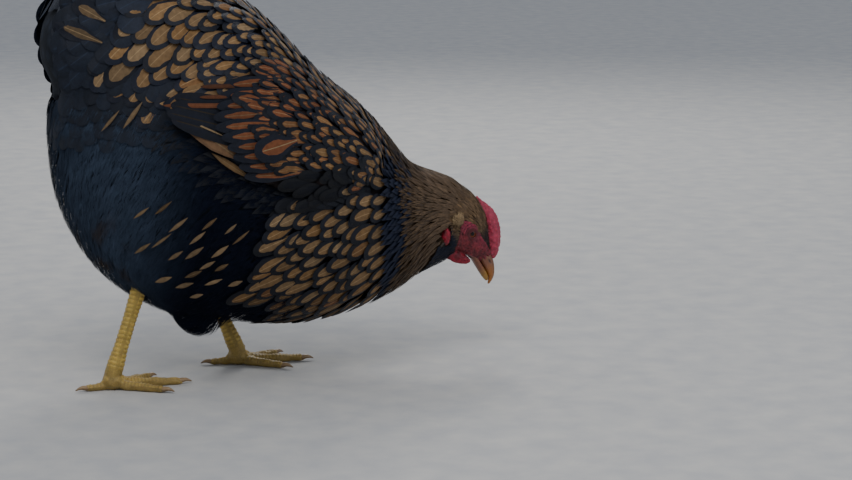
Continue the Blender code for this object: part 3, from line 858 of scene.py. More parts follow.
def laced_colours(count, warm, rng, base=(TAN, GOLD, ORANGE)):
    """Gold fields from tan (warm 0) through gold to orange (warm 1), black laces and pale shafts."""
    tan, gold, orange = base
    warm = np.clip(np.broadcast_to(warm, count) + rng.normal(0, 0.15, count), 0, 1)[:, None]
    field = np.where(warm < 0.5, tan + (gold - tan) * warm * 2, gold + (orange - gold) * (warm * 2 - 1))
    light = rng.normal(1, 0.12, (count, 1)).clip(0.65, 1.35)
    black = BLACK * rng.uniform(0.7, 1.4, (count, 1))
    return np.stack((field * light, black, (field * 0.6 + SHAFT * 0.4) * light), 1)


def lay_upper(plan, zone, material, rng):
    """Laced feathers of the shoulders, back and saddle, larger towards the tail, and a black rump."""
    coat = Coat("coat_back", material)
    x = plan.places[:, 0]
    sizes = ((-90, -40, 20, 80, 200), (18.5, 17.5, 14, 10, 8.2))
    roots = plan.chosen(zone["upper"], np.interp(x, *sizes))
    size = np.interp(roots[:, 0], *sizes)
    for wide in (False, True):
        own = (roots[:, 0] < 30) == wide
        count = own.sum()
        warm = np.interp(roots[own, 0], (-80, 40, 160), (0.1, 0.3, 0.45))
        spread = rng.normal(1, 0.08, count)
        lay_many(
            coat, LACED_WIDE if wide else LACED, plan.surface, roots[own], size[own] * 3.0 * spread,
            size[own] * 0.68 * spread, laced_colours(count, warm, rng), (0.8, 0.1, 0.7), rng,
            depth=size[own] * 0.5, cup=0.24, turn=0.16,
        )
    roots = plan.chosen(zone["rump"], 12.0)
    count = len(roots)
    lay_many(
        coat, BLACK_BROAD, plan.surface, roots, np.full(count, 36.0), np.full(count, 10.0),
        plain_colours(TAIL_BLACK * 0.8, count, rng), (0.5, 0.5, 0.5), rng, depth=6.0, cup=0.2, proud=-0.5,
    )
    return coat


def plain_colours(colour, count, rng, spread=0.3):
    """Feathers of one colour, some lighter and some darker."""
    return for_all_kinds(colour * rng.uniform(1 - spread, 1 + spread, (count, 1)))


def painted_wing_shadow(colours, surface, roots, reach):
    """Paints the wing's shadow: blackens the feathers whose tips lie in the dark band of shade along a
    wing's lower edge.
    """
    places, normals = surface.nearest(roots)
    tips = places + flow(places, normals) * (0.6 * reach)[:, None]
    x, z = tips[:, 0], tips[:, 2]
    # Painted shadow of the wing: these feathers are painted nearly black.
    colours[(x > 20) & (x < 138) & (z > 180) & (z < 207)] = BLACK * 0.45
    return colours


def lay_breast(plan, zone, material, rng, side):
    """Laced feathers of the breast and flank."""
    coat = Coat("coat_breast_" + side, material)
    own_side = plan.places[:, 1] * SIDES[side] >= 0
    sizes = ((60, 110, 170, 210), (13, 14.5, 13, 10))
    roots = plan.chosen(zone["breast"] & own_side, np.interp(plan.places[:, 2], *sizes))
    size = np.interp(roots[:, 2], *sizes)
    warm = np.interp(roots[:, 2], (50, 120), (0.5, 0.3))
    colours = laced_colours(len(roots), warm, rng)
    # The breast's gold fields are painted darker towards its bottom: painted shade.
    lower_breast_shade = np.interp(roots[:, 2] + 0.1 * roots[:, 0], (62, 112), (0.2, 0.85))[:, None]
    colours[:, INNER] *= lower_breast_shade
    colours[:, OUTER] *= 0.6
    spread = rng.normal(1, 0.1, len(roots))
    reach = size * 2.7 * spread
    # The feathers by the wing's lower edge get a painted shadow.
    lay_many(
        coat, BREAST, plan.surface, roots, reach, size * 0.62 * spread,
        painted_wing_shadow(colours, plan.surface, roots, reach), (0.8, 0.3, 0.7), rng,
        depth=6.0, cup=0.24, turn=0.16, proud=np.interp(roots[:, 0], (72, 115), (2.6, -0.5)),
    )
    return coat


def lay_band(plan, zone, material, rng):
    """The blue-black feathers between breast and hackle."""
    coat = Coat("coat_collar", material)
    roots = plan.chosen(zone["band"], 4.6)
    count = len(roots)
    lay_many(
        coat, BLACK_VANE, plan.surface, roots, np.full(count, 22.0), np.full(count, 3.4),
        # A blue-black whose blue is partly painted reflection of a blue sky.
        plain_colours(linear(20, 27, 46), count, rng, 0.2), (0.75, 0.75, 0.75), rng,
        depth=5.0, turn=0.2, proud=0.2,
    )
    return coat


def lower_edge(name):
    """The lower edge of a node in side view: places along x, and the lowest z there."""
    points = hen_points(arrays(frame["nodes"][name].data)[0])
    x = np.arange(points[:, 0].min() + 4, points[:, 0].max(), 8.0)
    z = np.array([points[np.abs(points[:, 0] - at) < 9, 2].min() for at in x])
    return x, z


def lay_under_wings(surface, owners, material, rng):
    """Black feathers on the flanks, which fill the shade under each wing's lower edge, painted darker than
    the plumage's black as painted shade.
    """
    coat = Coat("coat_flank", material)
    places = surface.scattered(60000, rng)
    edge_x, edge_z = lower_edge("wing_right")
    above_edge = places[:, 2] - np.interp(places[:, 0], edge_x, edge_z)
    flank = (owners.of(places) == "trunk") & (np.abs(places[:, 1]) > 40)
    along_wing = (places[:, 0] > edge_x[0] - 4) & (places[:, 0] < edge_x[-1] + 4)
    places = places[flank & along_wing & (above_edge > -11) & (above_edge < 10)]
    roots = places[spread_out(places, np.full(len(places), 7.5), -places[:, 0])]
    count = len(roots)
    # BLACK * 0.5 is painted shade under the wing.
    lay_many(
        coat, BLACK_VANE, surface, roots, np.full(count, 32.0), np.full(count, 6.0),
        plain_colours(BLACK * 0.5, count, rng), (0.4, 0.4, 0.4), rng, depth=6.0, proud=-1.0,
    )
    return coat


def bar_tip(z):
    """How far back the greater covert at a height reaches."""
    return 9 + 0.58 * np.maximum(259 - z, 0) + 0.4 * np.maximum(z - 259, 0)


def lay_wing(plan, material, rng, side):
    """Wing coverts, greater coverts, secondaries and primaries of one wing."""
    coat = Coat("coat_wing_" + side, material)
    sign = SIDES[side]
    x, z = plan.places[:, 0], plan.places[:, 2]
    outer = plan.normals[:, 1] * sign > -0.2
    small = outer & (x > bar_tip(z) + 52)
    roots = plan.chosen(plan.owned("wing_" + side) & small, 8.8)
    count = len(roots)
    warm = np.interp(roots[:, 0] + 0.8 * (250 - roots[:, 2]), (60, 200), (1.0, 0.55))
    spread = rng.normal(1, 0.13, count)
    # The coverts by the wing's lower edge get a painted shadow.
    colours = painted_wing_shadow(laced_colours(count, warm, rng), plan.surface, roots, 30 * spread)
    colours[:, OUTER] *= 0.6
    from_bar = roots[:, 0] - bar_tip(roots[:, 2])
    lay_many(
        coat, COVERT, plan.surface, roots, 30 * spread, 6.3 * spread, colours, (0.8, 0.3, 0.7), rng,
        depth=4.5, cup=0.2, turn=0.2, proud=np.interp(from_bar, (52, 70), (3.4, 0.8)),
    )
    for quill in wing_quills():
        lay_quill(coat, plan.surface, quill, sign, rng, inward=2.2)
    return coat


Quill = namedtuple("Quill", "root tip half_width sink field shaft shape", defaults=("plain",))
TAIL_QUILLS = tuple(
    Quill(root, tip, half_width, 1.5, TAIL_BLACK, TAIL_BLACK * 1.8)
    for root, tip, half_width in (
        ((-70, 330), (-113, 284), 14),
        ((-64, 342), (-119, 301), 15),
        ((-58, 352), (-123, 321), 16),
        ((-54, 362), (-121, 341), 16),
        ((-48, 370), (-114, 362), 16),
        ((-42, 378), (-105, 386), 16),
        ((-34, 385), (-92, 407), 16),
        ((-26, 390), (-76, 426), 15),
    )
)
TAIL_PATCHES = (
    Quill((-74, 347), (-103, 364), 9, -1.0, TAN * 0.7, SHAFT * 0.6, "laced"),
    Quill((-78, 328), (-119, 346), 9, -1.0, TAN * 0.5, SHAFT * 0.6, "laced"),
    Quill((-68, 268), (-84, 249), 1.6, -3, TAN * 0.7, SHAFT * 0.5, "flame"),
    Quill((-48, 276), (-66, 252), 2.2, -3, TAN * 0.7, SHAFT * 0.5, "flame"),
)
# Where the thigh's flames lie in side view, as (x, z).
FLAMES = np.array((
    (-52, 174), (-34, 176), (-19, 162), (7, 166), (24, 165), (-35, 151), (-50, 139), (-2, 152),
    (-22, 134), (-6, 137), (16, 138), (19, 125), (-6, 116), (-31, 110), (-10, 105), (12, 108),
    (31, 108), (0, 95), (36, 151), (4, 126),
), float)
LOBE = (256, 266.5, 117, 136)  # where an earlobe lies: from and to along x, then along z
LOBE_PLACE = np.array((261.3, 24.0, 126.5))  # the middle of the earlobe, on either side
LOBE_SIZE = np.array((4.6, 4.0, 8.8))  # from its middle to its edge


def wing_quills():
    """The folded flight feathers and greater coverts, from the lowest layer outwards."""
    secondaries = []
    for n in range(4):
        tip = (-30 + 4 * abs(n - 1), 262 + 6.5 * n)
        secondaries.append(Quill((95, 224 + 10 * n), tip, 9, 2.0 - 0.3 * n, BLACK, SHAFT * 0.05))
    primaries = [
        Quill((46, 205), (10, 230), 3.2, 0.2, BRONZE, SHAFT * 0.5, "flame"),
        Quill((36, 223), (-22, 267), 8.5, -0.6, linear(104, 77, 52), SHAFT * 0.5, "flame"),
        Quill((20, 246), (-18, 264), 0.8, -1.4, SHAFT * 0.5, SHAFT * 0.5),
    ]
    streaks = [
        Quill((40, 273), (-32, 274), 2.2, -2.2, ORANGE * 0.8, ORANGE),
        Quill((44, 281), (0, 281), 1.8, -2.3, ORANGE * 0.7, ORANGE * 0.8),
        Quill((46, 290), (2, 290), 2.0, -2.4, ORANGE * 0.5, ORANGE * 0.6),
    ]
    coverts = [
        Quill((bar_tip(z) + 58, z + 2), (bar_tip(z), z), 6.6, -2.0, ORANGE, SHAFT * 0.4, "laced")
        for z in np.arange(208, 292, 9.2)
    ]
    coverts.append(Quill((88, 240), (46, 230), 13, -5.5, ORANGE * 1.1, SHAFT * 0.6, "laced"))
    return secondaries + primaries + streaks + coverts


def lay_quill(coat, surface, quill, sign, rng, steps=8, inward=1.2):
    """One long feather on the body's side, from root to tip."""
    (x0, z0), (x1, z1) = quill.root, quill.tip
    knots, out = [], None
    for t in np.linspace(0, 1, steps + 1):
        x, z = x0 + (x1 - x0) * t, z0 + (z1 - z0) * t
        reach = surface.side_y(x, z, sign)
        out = reach if out is None else max(reach or 0, out - inward)
        knots.append((x, (out - quill.sink) * sign, z))
    knots = np.array(knots)[None]
    ways = unit(np.gradient(knots, axis=1))
    normals = np.broadcast_to(np.array((0, sign, 0.05)), knots.shape).astype(float)
    normals = unit(normals - ways * (ways * normals).sum(-1, keepdims=True))
    one = np.ones(1)
    length = np.linalg.norm(knots[0, -1] - knots[0, 0]) * one
    templates = QUILL_SHAPES[quill.shape]
    template = templates[rng.integers(len(templates))]
    laced = quill.shape == "laced"
    field = quill.field * rng.uniform(0.85, 1.15)
    colours = np.stack((field, BLACK if laced else field * 0.8, quill.shaft))[None]
    alpha = (0.7, 0.3, 0.7) if laced else (0.5, 0.35, 0.6)
    points = laid(template, (knots, ways, normals), quill.half_width * one, 2.5 * one, 0.12, 0 * one, 2.0)
    coat.add(template, points, colours, alpha, knots[:, 0], quill.half_width * one, length)


def short_of_lobe(roots, reach):
    """Reaches cut so that no feather hides an earlobe; 0 for feathers that would grow on it."""
    low_x, high_x, low_z, high_z = LOBE
    x, z = roots[:, 0], roots[:, 2]
    beside = (z > low_z) & (z < high_z) & (x > low_x) & (np.abs(roots[:, 1]) > 12)
    cut = np.where(x > high_x, np.clip(x - high_x, 2.6, np.maximum(reach, 2.6)), 0)
    return np.where(beside, cut, reach)


def lay_hackle(plan, material, rng, side):
    """Long narrow neck feathers, shorter and browner towards the head."""
    coat = Coat("coat_hackle_" + side, material)
    own_side = plan.places[:, 1] * SIDES[side] >= 0
    x, z = plan.places[:, 0], plan.places[:, 2]
    ahead, up = head_frame(plan.places)
    spacing = np.interp(x, (220, 245, 285), (2.8, 2.4, 1.7))
    base = plan.owned("trunk") & (x > 224 - 0.2 * (z - 120)) & (plan.normals[:, 0] > -0.2)
    nape = plan.owned("head") & (ahead < np.interp(up, (-16, -8), (-12, -18)))
    roots = plan.chosen((plan.owned("neck") | nape | base) & own_side, spacing)
    reach = np.interp(roots[:, 0], (220, 245, 285, 300), (22, 25, 13, 9))
    reach = short_of_lobe(roots, reach * rng.uniform(0.85, 1.15, len(roots)))
    roots, reach = roots[reach > 2], reach[reach > 2]
    x, z = roots[:, 0], roots[:, 2]
    half_width = np.interp(x, (220, 245, 285), (1.9, 1.7, 1.3))
    brown = np.interp(x + 0.1 * (z - 120), (214, 262), (0.0, 1.0))
    edge = mixed(BRONZE * 0.42, HEAD_BROWN * 0.95, brown, rng, 0.2)
    stripe = mixed(BLACK, HEAD_BROWN * 0.6, brown, rng, 0.2)
    throat = np.interp(z - 0.3 * (x - 250), (80, 100), (0.35, 1.0))[:, None]
    colours = np.stack((stripe, edge * throat, edge * 1.1 * throat), 1)
    lay_many(
        coat, HACKLE, plan.surface, roots, reach, half_width, colours, (0.6, 0.8, 0.8), rng,
        depth=np.interp(x, (225, 246, 257), (4.2, 3.2, 1.0)), cup=0.25, turn=0.16, proud=0.4,
    )
    return coat


def lay_head(surface, owners, material, rng):
    """Tiny feathers of crown, cheek and throat, round the bare face."""
    coat = Coat("coat_head", material)
    places = surface.scattered(120000, rng)
    ahead, up = head_frame(places)
    feathered = (owners.of(places) == "head") & ~bare_face(places) & (ahead < 38) & (ahead > -30)
    places, ahead = places[feathered], ahead[feathered]
    spacing = np.interp(ahead, (-31, 32), (1.7, 1.1))
    roots = places[spread_out(places, spacing, -ahead + rng.normal(0, 0.5, len(ahead)))]
    reach = np.interp(head_frame(roots)[0], (-31, 0, 34), (8.5, 5.5, 3.2))
    reach = short_of_lobe(roots, reach * rng.uniform(0.8, 1.2, len(roots)))
    roots, reach = roots[reach > 1.5], reach[reach > 1.5]
    ahead, up = head_frame(roots)
    half_width = np.interp(ahead, (-31, 34), (1.0, 0.5))
    # Black below the face; darker ahead of the eyes by the comb, partly dark feathers and partly painted
    # shade under the comb's overhang.
    dark = np.maximum(smooth(-up, 11, 18), 0.75 * smooth(ahead, 2, 14))[:, None]
    tone = mixed(HEAD_BROWN, BRONZE * 0.8, rng.random(len(roots)) * 0.6, rng, 0.2)
    tone = tone * (1 - dark) + BLACK * 1.5 * dark
    colours = for_all_kinds(tone)
    lay_many(
        coat, SMALL_VANE, surface, roots, reach, half_width, colours, (0.85, 0.85, 0.85), rng,
        depth=0.3, cup=0.2, turn=0.2, steps=3, proud=0.3, curl=1.0,
    )
    return coat


def lay_ear_tufts(surface, material, rng):
    """The tan bristles over the ears."""
    coat = Coat("ear_tufts", material)
    for sign in SIDES.values():
        turn, far = rng.random((2, 220))
        ahead = 6.8 * np.sqrt(far) * np.cos(turn * 2 * math.pi)
        up = 6.0 * np.sqrt(far) * np.sin(turn * 2 * math.pi)
        roots = np.array([head_point(a - 20.5, u - 6, sign * 22) for a, u in zip(ahead, up)])
        roots, _ = surface.nearest(roots)
        count = len(roots)
        # Lighter at the tuft's rear and top, darker at its front and bottom: painted light and shade.
        tone = mixed(EAR_TAN, HEAD_BROWN * 0.8, np.clip(0.3 + (ahead - 0.5 * up) / 9, 0, 1), rng, 0.14)
        lay_many(
            coat, BRISTLE, surface, roots, np.full(count, 5.5), np.full(count, 1.7),
            for_all_kinds(tone), (1, 1, 1), rng, depth=1.2, steps=3, turn=0.6,
            proud=3.0 - 0.05 * (ahead**2 + up**2),
        )
    return coat


def slate_share(places):
    """How far the black of the underside has turned to slate, from 0 at the belly to 1 at the rear."""
    return smooth(-places[:, 0] + 0.1 * (places[:, 2] - 170), -15, 75)


def lay_face_bristles(surface, material, rng):
    """Sparse, hair-like black feathers on the bare face."""
    coat = Coat("face_bristles", material, "hackle")
    places = surface.scattered(30000, rng)
    ahead, up = head_frame(places)
    near = bare_face(places) & (np.abs(ahead - 8) < 24) & (np.hypot(ahead, up) > 8)
    places = places[near]
    roots = places[spread_out(places, np.full(len(places), 2.6), rng.random(len(places)))]
    count = len(roots)
    colours = for_all_kinds(BLACK * rng.uniform(0.8, 1.4, (count, 1)))
    lay_many(
        coat, BRISTLE[:2], surface, roots, rng.uniform(1.6, 3.0, count), np.full(count, 0.9), colours,
        (1, 1, 1), rng, depth=0.2, steps=2, turn=0.3, proud=0.15,
    )
    return coat


def lay_fluff(plan, zone, material, rng, side):
    """Slate down of the rear, belly and thigh, in two pieces."""
    own_side = plan.places[:, 1] * SIDES[side] >= 0
    thigh = plan.owned("thigh_" + side)
    coats = []
    for part, here in (("rear", plan.places[:, 0] < -48), ("belly", plan.places[:, 0] >= -48)):
        coat = Coat(f"fluff_{part}_{side}", material)
        roots = plan.chosen((zone["fluff"] | thigh) & own_side & here, 3.7)
        count = len(roots)
        rust = np.array([noise.noise(Vector(place) / 22) for place in roots])
        rust = smooth(rust, 0.1, 0.5) * smooth(-roots[:, 0], 40, 80) * smooth(-roots[:, 2], -190, -140)
        slate = mixed(BLACK * 1.15, SLATE, slate_share(roots), rng, 0.08)
        tone = slate * (1 - rust[:, None]) + BRONZE * 0.3 * rust[:, None]
        reach = np.interp(-roots[:, 0], (-40, 60), (15, 20)) * rng.uniform(0.8, 1.25, count)
        lay_many(
            coat, FLUFF, plan.surface, roots, reach, np.full(count, 4.0), for_all_kinds(tone),
            (1, 1, 1), rng, depth=5.0, turn=0.25, steps=4, proud=-0.6,
        )
        coats.append(coat)
    return coats


def lay_thigh(surface, material, rng, side):
    """Narrow tan flames scattered over the thigh's black down."""
    coat = Coat("coat_thigh_" + side, material)
    for place in FLAMES:
        x, z = place + rng.normal(0, 1.5, 2)
        reach = rng.uniform(5.5, 8.5)
        rise = reach * np.interp(z, (100, 145), (0.25, 0.8))
        colour = (TAN if rng.random() < 0.75 else BRONZE * 0.6) * rng.uniform(0.6, 0.85)
        root, tip = (x + reach, z + rise), (x - reach, z - rise)
        flame = Quill(root, tip, rng.uniform(1.4, 2.6), -4, colour, SHAFT * 0.4, "flame")
        lay_quill(coat, surface, flame, SIDES[side], rng)
    return coat


def lay_tail(plan, material, rng):
    """The big black tail feathers and coverts, some with a tan field."""
    coat = Coat("coat_tail", material)
    for sign in SIDES.values():
        for quill in TAIL_QUILLS:
            lay_quill(coat, plan.surface, quill, sign, rng, inward=5.0)
    roots = plan.chosen(plan.owned("tail") & (plan.places[:, 0] > -104), 14.0)
    count = len(roots)
    colours = plain_colours(TAIL_BLACK, count, rng)
    colours[:, QUILL] *= 1.8
    lay_many(
        coat, BLACK_BROAD, plan.surface, roots, rng.normal(38, 3, count), rng.normal(12.5, 1, count),
        colours, (0.3, 0.3, 0.5), rng, depth=5.0, stiffness=0.35, cup=0.2,
    )
    for sign in SIDES.values():
        for quill in TAIL_PATCHES:
            lay_quill(coat, plan.surface, quill, sign, rng, inward=5.0)
    return coat


# ---------------------------------------------------------------- skin


def shrunk(mesh, owners):
    """Moves the body's skin in from the tips of the coat, less where the body is thin."""
    points, triangles = arrays(mesh)
    points = hen_points(points)
    normals = point_normals(mesh)
    tree = BVHTree.FromPolygons(points.tolist(), triangles.tolist())
    names = owners.of(points)
    moved = points.copy()
    for index, (place, normal, name) in enumerate(zip(points.tolist(), normals.tolist(), names)):
        start, inward = Vector(place), -Vector(normal)
        hit = tree.ray_cast(start + inward * 0.5, inward)
        room = hit[3] if hit[0] is not None else 10.0
        moved[index] += np.array(inward) * min(COAT_DEPTH[name.split("_")[0]], 0.38 * room)
    put_points(mesh, moved)
    return points, names


def body_skin(owners):
    """The feathered body's skin, in the colours of the coat over it."""
    mesh = fused("body_skin", node_meshes(BODY_NODES + ("head",)), *BODY_MELT)
    points, names = shrunk(mesh, owners)
    x, z = points[:, 0], points[:, 2]
    laced = ((z > 262) | (x > 50)) & (names != "neck") & (names != "head") & (names != "tail")
    colours = np.where(laced[:, None], GOLD * 0.12 + BLACK, SLATE * 0.3)
    brown = ((names == "neck") | (names == "head"))[:, None]
    colours = np.where(brown, BRONZE * 0.25, colours)
    painted(mesh, colours)
    return mesh


def lid_ring(sign, long_half, short_half, thick, sink):
    """A soft almond ring round the eyeball."""
    form = bmesh.new()
    turns, around = 28, 8
    rings = []
    for i in range(turns):
        angle = 2 * math.pi * i / turns
        out_way = AHEAD * math.cos(angle) + HEAD_UP * math.sin(angle)
        middle = head_point(long_half * math.cos(angle), short_half * math.sin(angle) + 0.1, 0)
        middle[1] = sign * (LID_OUT - sink)
        rings.append(
            [
                form.verts.new(world(middle + thick * (
                    out_way * math.cos(turn) + np.array((0, sign, 0)) * math.sin(turn)
                )))
                for turn in np.linspace(0, 2 * math.pi, around, endpoint=False)
            ]
        )
    for ring, following in zip(rings, rings[1:] + rings[:1]):
        for k in range(around):
            form.faces.new((ring[k], ring[(k + 1) % around], following[(k + 1) % around], following[k]))
    bmesh.ops.recalc_face_normals(form, faces=form.faces)
    return mesh_from(form, "lid")


def lobe_form(sign):
    """A rounded earlobe."""
    form = bmesh.new()
    bmesh.ops.create_icosphere(form, subdivisions=3, radius=1)
    for vertex in form.verts:
        vertex.co = world((np.array(vertex.co) * LOBE_SIZE + LOBE_PLACE) * (1, sign, 1))
    bmesh.ops.recalc_face_normals(form, faces=form.faces)
    return mesh_from(form, "lobe")


def face_skin():
    """Head, comb, wattles, lobes and lids, finely shaped."""
    shapes = node_meshes(FACE_NODES)
    for sign in SIDES.values():
        shapes += [lid_ring(sign, 4.9, 4.0, 0.9, 0), lid_ring(sign, 6.4, 5.6, 1.7, 1.6), lobe_form(sign)]
    mesh = fused("face_skin", shapes, *FACE_MELT)
    points, _ = arrays(mesh)
    points = hen_points(points)
    normals = point_normals(mesh)
    names = Owners(FACE_NODES).of(points)
    ahead, up = head_frame(points)
    bare = bare_face(points)
    comb = names == "comb"
    wattle = np.char.startswith(names, "wattle")
    out = np.stack((points[:, 0], np.abs(points[:, 1]), points[:, 2]), 1)
    lobe = (((out - LOBE_PLACE) / LOBE_SIZE) ** 2).sum(1) < 1.15
    eye_far = np.hypot(ahead, up)
    lid = (eye_far < 5.9) & (np.abs(points[:, 1]) > 15)
    push = np.zeros(len(points))
    light = np.ones(len(points))
    for index, place in enumerate(points):
        if comb[index]:
            cell = noise.voronoi(Vector(place) / 3.2)[0][0]
            push[index] = 1.3 * (0.5 - cell) + 0.4 * noise.noise(Vector(place) / 7)
            # Each comb point is lighter on top and darker between points: painted highlight and shade.
            light[index] = 1.2 - 0.45 * cell
        elif bare[index] or wattle[index] or lobe[index]:
            fold = noise.noise(Vector((ahead[index] / 7, up[index] / 2.0, place[1] / 6)))
            blotch = noise.noise(Vector(place) / 4)
            push[index] = 0.6 * fold + 0.25 * noise.noise(Vector(place) / 1.3)
            # Raised folds are lighter and hollows darker: painted shade, with random blotches in the skin's
            # own colour.
            light[index] = 1 + 0.5 * fold + 0.5 * blotch
    behind = smooth(eye_far, 6, 8) * smooth(-eye_far, -15, -10) * smooth(-ahead, -2, 4)
    rings = np.where(bare & ~comb, behind, 0) * np.sin(eye_far * 2.2)
    push += 0.35 * rings
    push[lid] *= 0.3
    push[lobe] *= 0.7
    # The wrinkles' ridges are lighter and their grooves darker: painted shade. The skin also grows darker
    # towards the eye.
    light *= (1 + 0.35 * rings) * (0.68 + 0.32 * smooth(eye_far, 5, 9))
    feathered = ~(bare | comb | wattle | lobe | lid)
    push[feathered] = -COAT_DEPTH["head"] - 6 * smooth(-ahead[feathered], 10, 24)
    points += normals * push[:, None]
    hanging = wattle * smooth(-points[:, 2], -107, -101)
    points[:, 0] += hanging * 0.2 * (points[:, 0] - 277)
    put_points(mesh, points)
    colours = np.tile(HEAD_BROWN * 0.25, (len(points), 1))
    pink = smooth(up - 0.4 * ahead, -10, 6)[:, None]
    colours[bare] = (FACE_RED * (1 - pink) + FACE_PINK * pink)[bare]
    colours[lid] = FACE_RED * 0.8
    colours[comb] = COMB_RED
    colours[wattle | lobe] = WATTLE_RED
    painted(mesh, colours * light[:, None])
    return mesh


HOCKS = {"right": (-44, -33, 96), "left": (31, 33, 94)}
ANKLES = {"right": (-71, -33, 14), "left": (65, 33, 14)}
TOE_TURNS = (-38, -2, 33, 172)
SCUTE = 4.3  # from one big leg scale to the next
TOE_SCUTE = 3.4


def saw(along, pitch):
    """Overlapping plates: a height that rises over each pitch and drops at its end."""
    part = (along / pitch) % 1.0
    return part * np.clip((1 - part) * 7, 0, 1)


def toe_ends(side):
    """Round toe ends, which sheathe the roots of the claws."""
    balls = []
    for name in sorted(frame["nodes"]):
        if not name.startswith("claw_" + side):
            continue
        low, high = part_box(name)
        middle = (low + high) / 2
        inward = Vector(ANKLES[side]) * MM + Vector(ORIGIN) - middle
        inward.z = 0
        centre = middle + inward.normalized() * 5.2 * MM
        centre.z = 3.1 * MM
        form = bmesh.new()
        bmesh.ops.create_icosphere(form, subdivisions=3, radius=3.0 * MM, matrix=Matrix.Translation(centre))
        balls.append(mesh_from(form, "toe_end"))
    return balls


def leg_skin(side):
    """Shank and foot of one leg with raised scutes."""
    shapes = node_meshes(("shank_" + side, "foot_" + side)) + toe_ends(side)
    mesh = fused("leg_" + side, shapes, *LEG_MELT)
    points, _ = arrays(mesh)
    points = hen_points(points)
    normals = point_normals(mesh)
    ankle, hock = np.array(ANKLES[side], float), np.array(HOCKS[side], float)
    shank = unit(hock - ankle)
    up_leg = (points - ankle) @ shank
    front = normals @ unit(np.array((shank[2], 0, -shank[0])))
    high = smooth(up_leg, 2, 12)
    plates = saw(up_leg + 1.2 * normals[:, 1], SCUTE) * smooth(np.abs(front), 0.05, 0.5)
    push = 1.0 * plates * high
    from_ankle = points - ankle
    for turn in TOE_TURNS:
        toe_way = np.array((math.cos(math.radians(turn)), SIDES[side] * math.sin(math.radians(turn)), 0))
        along = from_ankle @ toe_way
        off = np.linalg.norm(from_ankle[:, :2] - np.outer(along, toe_way[:2]), axis=1)
        on_toe = (along > 6) & (off < 7)
        toe = saw(-along, TOE_SCUTE) * smooth(normals[:, 2], 0.1, 0.6)
        push += np.where(on_toe, 0.75 * toe * (1 - high), 0)
    points += normals * (push - 0.3)[:, None]
    points[:, 2] = np.maximum(points[:, 2], 0.02)
    put_points(mesh, points)
    yellow, dull = linear(200, 168, 80), linear(150, 124, 78)
    wear = smooth(points[:, 2], 30, 2)[:, None] * 0.45
    colours = yellow * (1 - wear) + dull * wear
    colours *= (0.66 + 0.44 * np.clip(push / 0.6, 0, 1))[:, None]
    painted(mesh, colours)
    return mesh


def make_skin(owners, face, finishes):
    """One skin from comb to toes."""
    parts = [(body_skin(owners), 0), (face, 1)] + [(leg_skin(side), 2) for side in SIDES]
    form = bmesh.new()
    for mesh, index in parts:
        before = len(form.faces)
        form.from_mesh(mesh)
        form.faces.ensure_lookup_table()
        for face in form.faces[before:]:
            face.material_index = index
            face.smooth = True
    whole = mesh_from(form, "skin")
    for finish in finishes:
        whole.materials.append(finish)
    skin = linked("skin", whole)
    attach(skin, "root")
    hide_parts(*BODY_NODES, *FACE_NODES, *LEG_NODES)
    print("skin", len(whole.polygons), "faces")
    return skin


# ---------------------------------------------------------------- eyes, beak and claws


def put_in(mesh, material, node):
    """Makes a piece of a mesh, in place of a node of the frame."""
    mesh.shade_smooth()
    mesh.materials.append(material)
    piece = linked(mesh.name, mesh)
    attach(piece, "root")
    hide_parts(node)


def make_eye(side, material):
    """An eyeball with pupil and iris, whose axis points out of the head."""
    form = bmesh.new()
    bmesh.ops.create_uvsphere(form, u_segments=40, v_segments=40, radius=EYE_RADIUS)
    mesh = mesh_from(form, "eyeball_" + side)
    turn = Matrix.Rotation(-SIDES[side] * math.pi / 2, 4, "X")
    mesh.transform(turn)
    low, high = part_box("eye_" + side)
    middle = (low + high) / 2
    points, _ = arrays(mesh)
    from_axis = np.degrees(np.arctan2(np.hypot(points[:, 0], points[:, 2]), points[:, 1] * SIDES[side]))
    iris = linear(104, 50, 22)
    colours = np.tile(linear(40, 14, 12), (len(points), 1))
    colours[from_axis < 33] = iris * 0.5
    colours[from_axis < 29] = iris
    colours[from_axis < 20] = iris * 0.7
    colours[from_axis < 16.5] = linear(5, 4, 4)
    painted(mesh, colours)
    mesh.transform(Matrix.Translation(middle) @ Matrix.Scale(MM, 4))
    put_in(mesh, material, "eye_" + side)


BILL_SWELL = {"upper": 0.4, "lower": 0.6}  # gives back what smoothing took, so that the bill closes


def make_beak(material):
    """Upper and lower bill: golden horn, redder and darker at the base, with slit nostrils."""
    for part in ("upper", "lower"):
        mesh = fused("bill_" + part, node_meshes(["beak_" + part]), *BILL_MELT)
        points, _ = arrays(mesh)
        normals = point_normals(mesh)
        points = hen_points(points) + normals * BILL_SWELL[part]
        ahead, up = head_frame(points)
        tip = smooth(ahead, 36, 50)[:, None]
        horn = linear(152, 92, 30) if part == "upper" else linear(156, 114, 38)
        colours = linear(120, 72, 50) * (1 - tip) + horn * tip
        ridge = smooth(up + 0.5 * (ahead - 40), 1, 7)[:, None]
        colours *= 1 - 0.35 * ridge
        if part == "upper":
            slit = np.clip(1 - np.hypot((ahead - 37.5) / 3.2, (up - 2.6) / 1.2), 0, 1)
            points -= normals * (1.3 * np.sqrt(slit))[:, None]
            # The slit is painted nearly black: painted shade in its hollow.
            colours *= (1 - 0.9 * np.sqrt(slit))[:, None]
        put_points(mesh, points)
        painted(mesh, colours)
        put_in(mesh, material, "beak_" + part)


